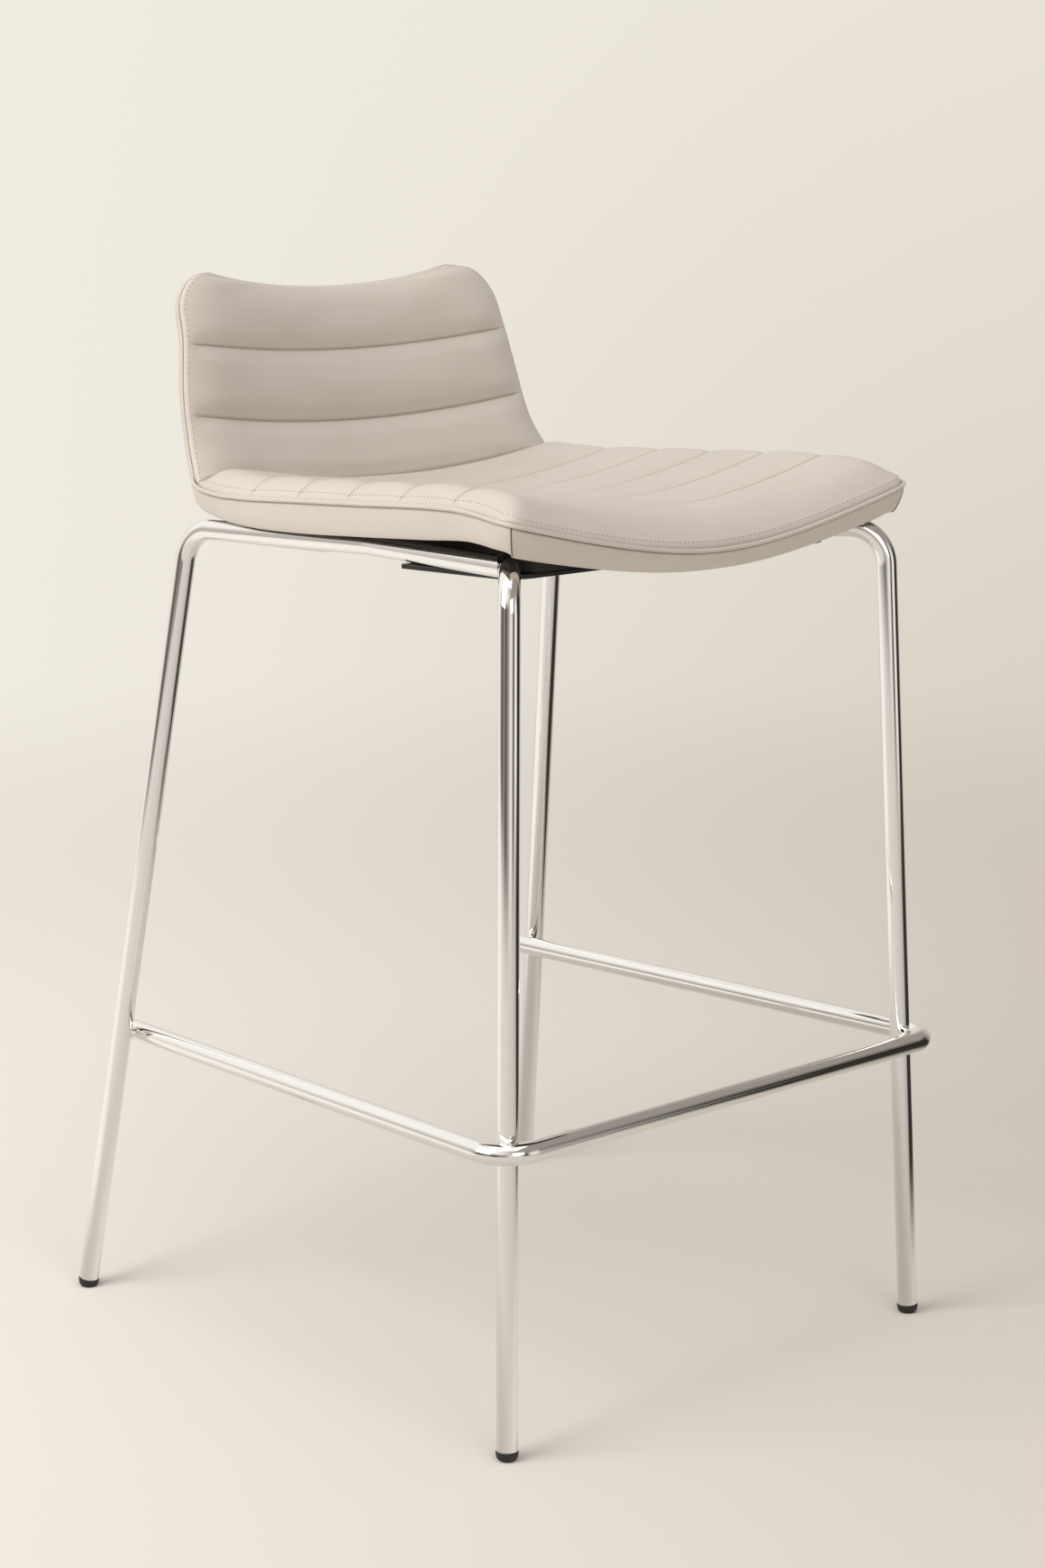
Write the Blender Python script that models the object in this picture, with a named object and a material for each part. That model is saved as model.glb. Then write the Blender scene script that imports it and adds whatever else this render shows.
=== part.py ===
"""Bar stool with a bent steel tube frame and a dished, upholstered seat and back.

Metres, +Z up. The stool stands on z = 0 and faces -Y. The origin is under the middle of its box.
"""
import math

import bmesh
import bpy
from mathutils import Vector

# Tube frame
TUBE_D = 0.018
TUBE_WALL = 0.0018
RAIL_Z = 0.721
FRONT_FOOT_HALF = 0.2455
FRONT_FOOT_Y = -0.2945
FRONT_TOP_INSET = 0.0079
FRONT_TOP_Y = -0.2687
REAR_FOOT_HALF = 0.2748
REAR_FOOT_Y = 0.2629
REAR_TOP_INSET = 0.0097
REAR_TOP_Y = 0.155
REAR_TOP_DROP = 0.0038
RAIL_KINK_INSET = 0.030
RAIL_KINK_Y = -0.070
RAIL_KINK_RISE = 0.0012
RAIL_END_INSET = 0.024
LEG_BEND = 0.034
REAR_BEND = 0.035
KINK_BEND = 0.060
STUB_LENGTH = 0.060
STUB_AIM_Y = -0.0229
TUBE_SIDES = 14

# Footrest
FOOTREST_FRONT_Z = 0.261
FOOTREST_REAR_Z = 0.248
FOOTREST_BEND = 0.030
FOOTREST_OUTSIDE = 0.024
FOOTREST_LAP = 0.0085
CAP_T = 0.0015
CAP_STEM = 0.008

# Rear cross rail
CROSS_RAIL_Y = 0.100
CROSS_RAIL_DROP = 0.018
CROSS_RAIL_FLAT_HALF = 0.110
CROSS_RAIL_BEND = 0.080

# Front mounting plate and rear lugs
PLATE_HALF = 0.2045
PLATE_FRONT_HALF = 0.190
PLATE_FRONT_Y = -0.2355
PLATE_REAR_Y = -0.120
PLATE_T = 0.0042
PLATE_CORNER = 0.010
LUG_Y = 0.030
LUG_WIDTH = 0.026
LUG_REACH = 0.034
LUG_T = 0.003
LUG_ABOVE_RAIL = 0.0012

# Seat fixings
FRONT_FIX_HALF = 0.070
FRONT_FIX_Y = -0.190
REAR_FIX_REACH = 0.0215
SCREW_D = 0.006
SCREW_HEAD_D = 0.0115
SCREW_HEAD_H = 0.0034
SCREW_BITE = 0.0075
SPACER_D = 0.017

# Glides
GLIDE_HEIGHT = 0.0085
GLIDE_D = 0.019
GLIDE_FLAT_D = 0.012
GLIDE_STEM = 0.020

# Upholstered seat and back
SEAT_HALF = 0.227
CORE_T = 0.010
CORE_INSET = 0.010
CORE_FRONT_INSET = 0.014
CORE_TOP_INSET = 0.011
CORE_CORNER = 0.030
SEAT_PAD_T = 0.0195
BACK_PAD_T = 0.0120
PAD_ROLL = 0.022
PAD_EDGE = 0.0012
PAD_EDGE_INSET = 0.0044
CREASE_ROLL = 0.008
CHANNEL_DEPTH = 0.0036
CHANNEL_HALF = 0.011
SEAT_CHANNEL_FIRST_Y = 0.064
SEAT_CHANNEL_PITCH = 0.067
SEAT_CHANNELS = 5
SKIRT_T = 0.0035
SKIRT_SIDE_LEAN = 0.0015
SKIRT_FRONT_LEAN = 0.015
SKIRT_FRONT_DROP = 0.0132
PIPING_D = 0.0044
BACK_COVER_T = 0.003
BACK_RIM_ROLL = 0.008
BATTEN_INSET = 0.046
BATTEN_WIDTH = 0.071
BATTEN_OUTER = SEAT_HALF - BATTEN_INSET
BATTEN_INNER = BATTEN_OUTER - BATTEN_WIDTH
BATTEN_FRONT_Y = -0.236
BATTEN_REAR_Y = 0.006
BATTEN_CUT = 0.021
BATTEN_CUT_LENGTH = 0.031

# The air left between pieces that touch
GAP = 0.0003
LAYER_GAP = 0.0007

# Stations along the moulded sheet, from the seat's front edge to the top of the back: centre y,
# centre rise, half width as a share of SEAT_HALF, side y and side rise. Rises are over a level that
# lies SHEET_SEATING below the tops of the rails.
SHEET_SEATING = 0.009
STATIONS = (
    (-0.2870, -0.0028, 0.982, -0.2797, 0.0352),
    (-0.2690, -0.0002, 0.998, -0.2668, 0.0352),
    (-0.2275, 0.0042, 1.000, -0.2300, 0.0412),
    (-0.1700, 0.0052, 1.001, -0.1750, 0.0406),
    (-0.0900, 0.0035, 1.000, -0.0950, 0.0357),
    (0.0000, 0.0008, 0.996, -0.0050, 0.0314),
    (0.0750, -0.0005, 0.985, 0.0700, 0.0278),
    (0.1250, 0.0022, 0.965, 0.1180, 0.0277),
    (0.1660, 0.0155, 0.943, 0.1500, 0.0325),
    (0.1838, 0.0410, 0.920, 0.1638, 0.0475),
    (0.1957, 0.0699, 0.897, 0.1772, 0.0726),
    (0.2053, 0.1068, 0.877, 0.1888, 0.1113),
    (0.2161, 0.1487, 0.842, 0.1986, 0.1568),
    (0.2288, 0.1800, 0.818, 0.2105, 0.1890),
    (0.2346, 0.1888, 0.733, 0.2180, 0.2096),
    (0.2390, 0.1967, 0.583, 0.2235, 0.2136),
)
LAST = len(STATIONS) - 1
# Height of the skirt at each station of the seat's side
SKIRT_DROPS = (0.0214, 0.0197, 0.0207, 0.0245, 0.0254, 0.0258, 0.0234, 0.0196, 0.0160, 0.0040)
SKIRT_END_V = 8.45
CREASE_V = 8.0
BACK_SEAMS_V = (10.12, 11.73)
BACK_SEAM_RISE = 4.5
BACK_SEAM_FADE = 3.5
BACK_COVER_V = 8.55
FRONT_DISH = 0.5
SEAT_DISH = 2.0

TUBE_R = TUBE_D / 2
BORE_R = TUBE_R - TUBE_WALL
FRONT_TOP_HALF = SEAT_HALF - FRONT_TOP_INSET
REAR_TOP_HALF = SEAT_HALF - REAR_TOP_INSET
REAR_TOP_Z = RAIL_Z - REAR_TOP_DROP
SHEET_Z = RAIL_Z + TUBE_R - SHEET_SEATING
PLATE_TOP = RAIL_Z - TUBE_R - GAP
PLATE_BOTTOM = PLATE_TOP - PLATE_T
HOLE_D = SCREW_D + 2 * GAP


def spline(values, t):
    """Smooth curve through values, read at the fractional index t."""
    i = min(max(int(math.floor(t)), 0), len(values) - 2)
    f = t - i
    b, c = values[i], values[i + 1]
    a = values[i - 1] if i > 0 else 2 * b - c
    d = values[i + 2] if i + 2 < len(values) else 2 * c - b
    return b + 0.5 * f * (c - a + f * (2 * a - 5 * b + 4 * c - d + f * (3 * (b - c) + d - a)))


COLUMNS = [list(column) for column in zip(*STATIONS)]


def half_width(v):
    return SEAT_HALF * spline(COLUMNS[2], v)


def dish(u, v):
    """How far a point has risen from the centre line (0) to the side edge (1)."""
    s = FRONT_DISH + (SEAT_DISH - FRONT_DISH) * min(max(v / 3, 0), 1)
    return (math.hypot(u, s) - s) / (math.hypot(1, s) - s)


def sheet(u, v):
    """Point of the moulded sheet: u runs across from -1 to 1, v along the stations."""
    g = dish(u, v)
    y = spline(COLUMNS[0], v) * (1 - g) + spline(COLUMNS[3], v) * g
    rise = spline(COLUMNS[1], v) * (1 - g) + spline(COLUMNS[4], v) * g
    return Vector((u * half_width(v), y, SHEET_Z + rise))


def normal(u, v):
    """The sheet's unit normal, towards the sitter."""
    e = 0.004
    across = sheet(u + e, v) - sheet(u - e, v)
    along = sheet(u, min(v + e, LAST)) - sheet(u, max(v - e, 0))
    return across.cross(along).normalized()


def lifted(u, v, height):
    return sheet(u, v) + normal(u, v) * height


def arc_lengths(u, steps=600):
    """Arc length along the sheet at u, as pairs of v and length."""
    out = [(0.0, 0.0)]
    last = sheet(u, 0)
    for k in range(1, steps + 1):
        v = LAST * k / steps
        p = sheet(u, v)
        out.append((v, out[-1][1] + (p - last).length))
        last = p
    return out


ARC = arc_lengths(0.5)
ARC_END = ARC[-1][1]


def arc_at(v):
    for (v0, s0), (v1, s1) in zip(ARC, ARC[1:]):
        if v <= v1:
            return s0 + (s1 - s0) * (v - v0) / (v1 - v0)
    return ARC_END


def v_at_arc(s):
    for (v0, s0), (v1, s1) in zip(ARC, ARC[1:]):
        if s <= s1:
            return v0 + (v1 - v0) * (s - s0) / (s1 - s0)
    return float(LAST)


def v_at_y(y):
    """Station where the seat, half way out, is at this y."""
    low, high = 0.0, 7.5
    for _ in range(40):
        mid = (low + high) / 2
        if sheet(0.6, mid).y < y:
            low = mid
        else:
            high = mid
    return (low + high) / 2


def underside(x, y):
    """Height of the shell's underside over a point of the plan."""
    u, v = x / SEAT_HALF, v_at_y(y)
    for _ in range(40):
        p = lifted(u, v, -CORE_T - GAP)
        u += 0.7 * (x - p.x) / SEAT_HALF
        v += 0.7 * (y - p.y) / 0.09
    return lifted(u, v, -CORE_T - GAP).z


# Scene and materials
for old in list(bpy.data.objects):
    bpy.data.objects.remove(old, do_unlink=True)


def material(name, colour, metallic, roughness):
    made = bpy.data.materials.new(name)
    made.use_nodes = True
    shader = made.node_tree.nodes["Principled BSDF"]
    shader.inputs["Base Color"].default_value = (*colour, 1)
    shader.inputs["Metallic"].default_value = metallic
    shader.inputs["Roughness"].default_value = roughness
    return made


CHROME = material("chrome", (0.80, 0.80, 0.79), 1.0, 0.07)
LEATHER = material("greige_leather", (0.60, 0.53, 0.46), 0.0, 0.5)
SHELL = material("dark_shell", (0.030, 0.022, 0.018), 0.0, 0.6)
BLACK_PAINT = material("black_paint", (0.012, 0.011, 0.011), 0.0, 0.35)
BLACK_PLASTIC = material("black_plastic", (0.015, 0.015, 0.015), 0.0, 0.45)
RUBBER = material("rubber", (0.02, 0.02, 0.02), 0.0, 0.8)
ZINC = material("zinc_steel", (0.55, 0.55, 0.53), 1.0, 0.3)


# The frame's lines, on the right side of the stool
def front_leg_axis(z):
    foot = Vector((FRONT_FOOT_HALF, FRONT_FOOT_Y, 0))
    return foot.lerp(Vector((FRONT_TOP_HALF, FRONT_TOP_Y, RAIL_Z)), z / RAIL_Z)


def rear_leg_axis(z):
    foot = Vector((REAR_FOOT_HALF, REAR_FOOT_Y, 0))
    return foot.lerp(Vector((REAR_TOP_HALF, REAR_TOP_Y, REAR_TOP_Z)), z / REAR_TOP_Z)


STUB_CORNER = front_leg_axis(RAIL_Z)
STUB_DIRECTION = Vector((-STUB_CORNER.x, STUB_AIM_Y - STUB_CORNER.y, 0)).normalized()
STUB_END = STUB_CORNER + STUB_DIRECTION * STUB_LENGTH
STUB_SIDE = Vector((STUB_DIRECTION.y, -STUB_DIRECTION.x, 0))
REAR_CORNER = rear_leg_axis(REAR_TOP_Z)
RAIL_KINK = Vector((SEAT_HALF - RAIL_KINK_INSET, RAIL_KINK_Y, RAIL_Z + RAIL_KINK_RISE))
RAIL_END_X = SEAT_HALF - RAIL_END_INSET
STUB_REACH = (RAIL_END_X - STUB_CORNER.x) / STUB_DIRECTION.x
RAIL_END = STUB_CORNER + STUB_DIRECTION * STUB_REACH

# The footrest's corner lies so that the inside of its bend touches the front leg
FOOTREST_LEG = front_leg_axis(FOOTREST_FRONT_Z)
FOOTREST_SPAN = rear_leg_axis(FOOTREST_REAR_Z) - FOOTREST_LEG
FOOTREST_SKEW = math.atan2(FOOTREST_OUTSIDE + TUBE_D - FOOTREST_SPAN.x, FOOTREST_SPAN.y + FOOTREST_OUTSIDE)
FOOTREST_TOUCH = FOOTREST_BEND - TUBE_D - 2 * GAP
FOOTREST_ASIDE = FOOTREST_BEND * math.tan(math.pi / 4 + FOOTREST_SKEW / 2) - FOOTREST_OUTSIDE
FOOTREST_AHEAD = FOOTREST_BEND - math.sqrt(FOOTREST_TOUCH ** 2 - FOOTREST_ASIDE ** 2)
FOOTREST_CORNER = FOOTREST_LEG + Vector((FOOTREST_OUTSIDE, -FOOTREST_AHEAD, 0))

BOX_FRONT = FOOTREST_CORNER.y - TUBE_R
BOX_REAR = rear_leg_axis(0.8 * GLIDE_HEIGHT).y + GLIDE_D / 2

stool = bpy.data.objects.new("stool", None)
stool.location = (0, -(BOX_FRONT + BOX_REAR) / 2, 0)
bpy.context.scene.collection.objects.link(stool)


def rail_at(y):
    """Axis of the right rail behind its kink."""
    t = (y - REAR_CORNER.y) / (RAIL_KINK.y - REAR_CORNER.y)
    return REAR_CORNER.lerp(RAIL_KINK, t)


def mirrored(point, side):
    return Vector((point.x * side, point.y, point.z))


def add(name, bm, finish, smooth_angle=40):
    """Turn a bmesh into a named piece of the stool."""
    bmesh.ops.recalc_face_normals(bm, faces=bm.faces)
    mesh = bpy.data.meshes.new(name)
    bm.to_mesh(mesh)
    bm.free()
    mesh.shade_smooth()
    mesh.set_sharp_from_angle(angle=math.radians(smooth_angle))
    mesh.materials.append(finish)
    piece = bpy.data.objects.new(name, mesh)
    piece.parent = stool
    bpy.context.scene.collection.objects.link(piece)
    return piece


def loft(rings, joined=False):
    """Skin rings of equally many points. Joined rings close on themselves, as a hollow tube does."""
    bm = bmesh.new()
    loops = [[bm.verts.new(p) for p in ring] for ring in rings]
    pairs = list(zip(loops, loops[1:]))
    if joined:
        pairs.append((loops[-1], loops[0]))
    for a, b in pairs:
        n = len(a)
        for k in range(n):
            bm.faces.new((a[k], a[(k + 1) % n], b[(k + 1) % n], b[k]))
    if not joined:
        bm.faces.new(loops[0])
        bm.faces.new(loops[-1])
    return bm


def rounded_path(points, bends, steps=6):
    """Straight runs through points, with an arc of the given radius at each inner corner."""
    path = [points[0]]
    for before, corner, after, radius in zip(points, points[1:], points[2:], bends):
        back = (before - corner).normalized()
        ahead = (after - corner).normalized()
        turn = math.pi - back.angle(ahead)
        middle = corner + (back + ahead).normalized() * (radius / math.cos(turn / 2))
        start = corner + back * (radius * math.tan(turn / 2)) - middle
        for k in range(steps + 1):
            a = turn * k / steps
            path.append(middle + start * math.cos(a) - back * radius * math.sin(a))
    path.append(points[-1])
    return path


def ring_at(point, across, other, radius, sides):
    angles = [2 * math.pi * s / sides for s in range(sides)]
    return [point + (across * math.cos(a) + other * math.sin(a)) * radius for a in angles]


def rings_along(path, radius, sides):
    """Circles square to a path, carried along it without twisting."""
    rings = []
    across = Vector((0.31, 0.2, 0.93))
    for k, point in enumerate(path):
        ahead = Vector()
        if k < len(path) - 1:
            ahead += (path[k + 1] - point).normalized()
        if k > 0:
            ahead += (point - path[k - 1]).normalized()
        ahead.normalize()
        across = (across - ahead * across.dot(ahead)).normalized()
        rings.append(ring_at(point, across, ahead.cross(across), radius, sides))
    return rings


def revolve(foot, up, profile, sides):
    """Rings of a turned piece: pairs of radius and height along an axis."""
    across = up.cross(Vector((0, 1, 0) if abs(up.y) < 0.9 else (1, 0, 0))).normalized()
    return [ring_at(foot + up * h, across, up.cross(across), r, sides) for r, h in profile]


def slide_to_plane(ring, along, point, face):
    """Move each point of a ring along a direction until it lies in a plane."""
    return [p + along * ((point - p).dot(face) / along.dot(face)) for p in ring]


def slide_to_tube(ring, along, point, axis, radius):
    """Move each point of a ring along a direction until it meets a round tube's surface."""
    moved = []
    flat_along = along - axis * along.dot(axis)
    for p in ring:
        offset = p - point
        flat = offset - axis * offset.dot(axis)
        a = flat_along.length_squared
        b = flat.dot(flat_along)
        c = flat.length_squared - radius * radius
        moved.append(p - along * ((b + math.sqrt(max(b * b - a * c, 0))) / a))
    return moved


def hollow_tube(path, start_cut=None, end_cut=None):
    """Wall of a bent tube, open at both ends. A cut reshapes the ring at its end."""
    walls = []
    for radius in (TUBE_R, BORE_R):
        rings = rings_along(path, radius, TUBE_SIDES)
        if start_cut:
            rings[0] = start_cut(rings[0], (path[0] - path[1]).normalized())
        if end_cut:
            rings[-1] = end_cut(rings[-1], (path[-1] - path[-2]).normalized())
        walls.append(rings)
    return loft(walls[0] + walls[1][::-1], joined=True)


# Front legs: each a tube whose top is bent inwards to lie on the plate
def front_leg(name, side):
    points = [front_leg_axis(GLIDE_HEIGHT), STUB_CORNER, STUB_END]
    points = [mirrored(p, side) for p in points]
    add(name, hollow_tube(rounded_path(points, [LEG_BEND])), CHROME)


# Side tubes: rear leg and seat rail in one, the rail's end mitred to the front leg's stub
def side_tube(name, side):
    points = [rear_leg_axis(GLIDE_HEIGHT), REAR_CORNER, RAIL_KINK, RAIL_END]
    points = [mirrored(p, side) for p in points]
    face = mirrored(STUB_SIDE, side)
    seat = mirrored(STUB_CORNER, side) + face * (TUBE_R + GAP)

    def mitre(ring, along):
        return slide_to_plane(ring, along, seat, face)

    add(name, hollow_tube(rounded_path(points, [REAR_BEND, KINK_BEND]), end_cut=mitre), CHROME)


# Footrest: round the outside of the front legs, its ends lapped inside the rear legs and capped
def footrest():
    leg = rear_leg_axis(FOOTREST_REAR_Z)
    run = (leg - Vector((TUBE_D, 0, 0)) - FOOTREST_CORNER).normalized()
    leg_line = rear_leg_axis(1) - rear_leg_axis(0)
    away = leg_line.cross(run).normalized()
    rear = leg - Vector(((TUBE_D + GAP) / abs(away.x), 0, 0))
    run = (rear - FOOTREST_CORNER).normalized()
    rear += run * FOOTREST_LAP
    points = [mirrored(rear, -1), mirrored(FOOTREST_CORNER, -1), FOOTREST_CORNER, rear]
    add("footrest", hollow_tube(rounded_path(points, [FOOTREST_BEND] * 2)), CHROME)
    stem = BORE_R - GAP
    profile = (
        (stem, -CAP_STEM), (stem, GAP), (TUBE_R - 0.0004, GAP),
        (TUBE_R - 0.0004, CAP_T * 0.5), (TUBE_R * 0.8, CAP_T),
    )
    for label, side in (("left", -1), ("right", 1)):
        rings = revolve(mirrored(rear, side), mirrored(run, side), profile, TUBE_SIDES)
        add("footrest_" + label + "_end_cap", loft(rings), CHROME)


# Rear cross rail: dips under the dished seat, coped to the side rails
def rear_cross_rail():
    end = rail_at(CROSS_RAIL_Y)
    dip = Vector((CROSS_RAIL_FLAT_HALF, CROSS_RAIL_Y, end.z - CROSS_RAIL_DROP))
    points = [mirrored(end, -1), mirrored(dip, -1), dip, end]
    axis = (RAIL_KINK - REAR_CORNER).normalized()

    def cope(ring, along):
        side = 1 if along.x > 0 else -1
        return slide_to_tube(ring, along, mirrored(end, side), mirrored(axis, side), TUBE_R + GAP)

    path = rounded_path(points, [CROSS_RAIL_BEND] * 2)
    add("rear_cross_rail", hollow_tube(path, cope, cope), CHROME)


# Glides: a stem in the leg's end over a domed foot that is flat where it stands
def glide(name, axis_at, side):
    foot = mirrored(axis_at(0), side)
    up = (mirrored(axis_at(1), side) - foot).normalized()
    bore = BORE_R - GAP
    shoulder = GLIDE_HEIGHT / up.z - GAP
    profile = (
        (GLIDE_FLAT_D / 2, -0.003),
        (GLIDE_FLAT_D / 2, 0.0),
        (GLIDE_D * 0.42, shoulder * 0.20),
        (GLIDE_D * 0.48, shoulder * 0.50),
        (GLIDE_D / 2, shoulder * 0.80),
        (GLIDE_D / 2, shoulder),
        (bore, shoulder),
        (bore, shoulder + GLIDE_STEM),
        (bore - 0.0012, shoulder + GLIDE_STEM + 0.0012),
    )
    bm = loft(revolve(foot, up, profile, TUBE_SIDES))
    cut = bmesh.ops.bisect_plane(bm, geom=bm.verts[:] + bm.edges[:] + bm.faces[:],
                                 plane_co=(0, 0, 0), plane_no=(0, 0, -1), clear_outer=True)
    rim = [e for e in cut["geom_cut"] if isinstance(e, bmesh.types.BMEdge)]
    bmesh.ops.contextual_create(bm, geom=rim)
    add(name, bm, BLACK_PLASTIC, 50)


def circle(x, y, z, radius, sides=12):
    return ring_at(Vector((x, y, z)), Vector((1, 0, 0)), Vector((0, 1, 0)), radius, sides)


def drill(piece, x, y, z0, z1):
    """Cut a vertical screw hole through a piece."""
    rings = [circle(x, y, z0, HOLE_D / 2), circle(x, y, z1, HOLE_D / 2)]
    cutter = add(piece.name + "_hole", loft(rings), ZINC)
    cutter.hide_render = True
    cutter.display_type = "WIRE"
    cut = piece.modifiers.new("hole", "BOOLEAN")
    cut.operation = "DIFFERENCE"
    cut.solver = "EXACT"
    cut.object = cutter


# Where the seat is screwed on: x, y, the height that carries the spacer and the thickness under it
RAIL_AT_LUG = rail_at(LUG_Y)
LUG_TOP = RAIL_AT_LUG.z + LUG_ABOVE_RAIL + LUG_T
LUG_OUTER = RAIL_AT_LUG.x - TUBE_R - GAP
REAR_FIX_HALF = LUG_OUTER - REAR_FIX_REACH
FIXINGS = {
    "front_left": (-FRONT_FIX_HALF, FRONT_FIX_Y, PLATE_TOP, PLATE_T),
    "front_right": (FRONT_FIX_HALF, FRONT_FIX_Y, PLATE_TOP, PLATE_T),
    "rear_left": (-REAR_FIX_HALF, LUG_Y, LUG_TOP, LUG_T),
    "rear_right": (REAR_FIX_HALF, LUG_Y, LUG_TOP, LUG_T),
}


# Front mounting plate: flat, narrower and rounded at the front corners, under the rails and stubs
def front_mounting_plate():
    outline = [(-PLATE_HALF, PLATE_REAR_Y), (PLATE_HALF, PLATE_REAR_Y)]
    for side in (1, -1):
        for k in range(7):
            a = math.pi / 2 * (k if side > 0 else 6 - k) / 6
            x = side * (PLATE_FRONT_HALF - PLATE_CORNER * (1 - math.cos(a)))
            outline.append((x, PLATE_FRONT_Y + PLATE_CORNER * (1 - math.sin(a))))
    rings = [[Vector((x, y, z)) for x, y in outline] for z in (PLATE_BOTTOM, PLATE_TOP)]
    plate = add("front_mounting_plate", loft(rings), BLACK_PAINT, 30)
    for name in ("front_left", "front_right"):
        x, y, _, _ = FIXINGS[name]
        drill(plate, x, y, PLATE_BOTTOM - PLATE_T, PLATE_TOP + PLATE_T)


# Rear lugs: tabs welded to the inner side of the rails
def rear_lug(label, side):
    half = LUG_WIDTH / 2
    slope = (REAR_CORNER.x - RAIL_KINK.x) / (REAR_CORNER.y - RAIL_KINK.y)
    outline = [(LUG_OUTER - slope * half, LUG_Y - half), (LUG_OUTER + slope * half, LUG_Y + half)]
    for k in range(9):
        a = math.pi / 2 + math.pi * k / 8
        x = LUG_OUTER - LUG_REACH + half + half * math.cos(a)
        outline.append((x, LUG_Y + half * math.sin(a)))
    rings = [[Vector((x * side, y, z)) for x, y in outline] for z in (LUG_TOP - LUG_T, LUG_TOP)]
    lug = add("rear_" + label + "_lug", loft(rings), CHROME, 30)
    x, y, _, _ = FIXINGS["rear_" + label]
    drill(lug, x, y, LUG_TOP - 2 * LUG_T, LUG_TOP + LUG_T)


# Spacers: rubber rings whose tops follow the underside of the shell
def spacer(name):
    x, y, seat, _ = FIXINGS[name]
    outer = circle(x, y, seat + GAP, SPACER_D / 2)
    inner = circle(x, y, seat + GAP, HOLE_D / 2)
    tops = [[Vector((p.x, p.y, underside(p.x, p.y) - GAP)) for p in ring] for ring in (outer, inner)]
    add(name + "_spacer", loft([outer, tops[0], tops[1], inner], joined=True), RUBBER)


# Screws: domed heads under the plate and lugs, shanks up into the shell
def screw(name):
    x, y, seat, thickness = FIXINGS[name]
    under = seat - thickness - GAP
    tip = underside(x, y) + SCREW_BITE
    profile = (
        (SCREW_HEAD_D * 0.28, under - SCREW_HEAD_H),
        (SCREW_HEAD_D * 0.42, under - SCREW_HEAD_H * 0.75),
        (SCREW_HEAD_D / 2, under - SCREW_HEAD_H * 0.2),
        (SCREW_HEAD_D / 2, under),
        (SCREW_D / 2, under),
        (SCREW_D / 2, tip),
    )
    add(name + "_screw", loft([circle(x, y, z, r) for r, z in profile]), ZINC)


# Rows along the sheet, shared by every layer so that neighbouring layers never cross
def row_arcs(start, end, seams, start_roll, end_roll):
    stops = sorted([start] + seams + [end])
    arcs = set(stops)
    for a, b in zip(stops, stops[1:]):
        arcs.add((a + b) / 2)
    for s in seams:
        arcs.update((s - CHANNEL_HALF, s + CHANNEL_HALF))
    for share in (0.12, 0.4, 0.68, 1.0):
        arcs.update((start + share * start_roll, end - share * end_roll))
    return sorted(arcs)


CREASE_ARC = arc_at(CREASE_V)
SEAT_SEAMS = [arc_at(v_at_y(SEAT_CHANNEL_FIRST_Y - SEAT_CHANNEL_PITCH * k)) for k in range(SEAT_CHANNELS)]
BACK_SEAMS = [arc_at(v) for v in BACK_SEAMS_V]
SEAT_ROWS = row_arcs(PAD_EDGE_INSET, CREASE_ARC - GAP, SEAT_SEAMS, PAD_ROLL, CREASE_ROLL)
BACK_ROWS = row_arcs(CREASE_ARC + GAP, ARC_END - PAD_EDGE_INSET, BACK_SEAMS, CREASE_ROLL, PAD_ROLL)
INNER_COLUMNS = [k * 0.175 for k in range(-4, 5)]


def bowed(u, v):
    """Station of a row at u: the back's rows rise towards the sides, most in its lower half."""
    t = min(max((v - CREASE_V) / (LAST - CREASE_V), 0), 1)
    return v + BACK_SEAM_RISE * t * (1 - t) ** BACK_SEAM_FADE * dish(u, v)


def row_at(arc, edge, insets):
    """Places across the sheet on one row: close ones at the edges, even ones between them."""
    v = v_at_arc(arc)
    half = half_width(bowed(1, v))
    edges = [1 - (edge + i) / half for i in insets]
    return [(u, v) for u in [-e for e in edges] + INNER_COLUMNS + edges[::-1]]


def slab(name, rows, upper, lower, finish):
    """Closed sheet between an upper and a lower height over a grid of (u, v) rows."""
    bm = bmesh.new()

    def grid(height):
        return [[bm.verts.new(lifted(u, bowed(u, v), height(u, v))) for u, v in row] for row in rows]

    tops, lows = grid(upper), grid(lower)
    for layer in (tops, lows):
        for a, b in zip(layer, layer[1:]):
            for k in range(len(a) - 1):
                bm.faces.new((a[k], a[k + 1], b[k + 1], b[k]))
    rims = [(tops[0], lows[0]), (tops[-1], lows[-1])]
    rims.append(([row[0] for row in tops], [row[0] for row in lows]))
    rims.append(([row[-1] for row in tops], [row[-1] for row in lows]))
    for a, b in rims:
        for k in range(len(a) - 1):
            bm.faces.new((a[k], a[k + 1], b[k + 1], b[k]))
    return add(name, bm, finish, 50)


# Shell: the moulded core of seat and back, drilled for the seat screws
def moulded_shell():
    first, last = CORE_FRONT_INSET, ARC_END - CORE_TOP_INSET
    arcs = [first] + [s for s in SEAT_ROWS + BACK_ROWS if first + 0.001 < s < last - 0.001] + [last]

    def inset(s):
        t = max(1 - (s - first) / CORE_CORNER, 0)
        return CORE_INSET + CORE_CORNER * (1 - math.sqrt(1 - t * t))

    rows = [row_at(s, inset(s), (0.0,)) for s in arcs]
    shell = slab("moulded_shell", rows, lambda u, v: -GAP, lambda u, v: -CORE_T - GAP, SHELL)
    for x, y, _, _ in FIXINGS.values():
        drill(shell, x, y, underside(x, y) - CORE_T / 2, underside(x, y) + 2 * CORE_T)


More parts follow.
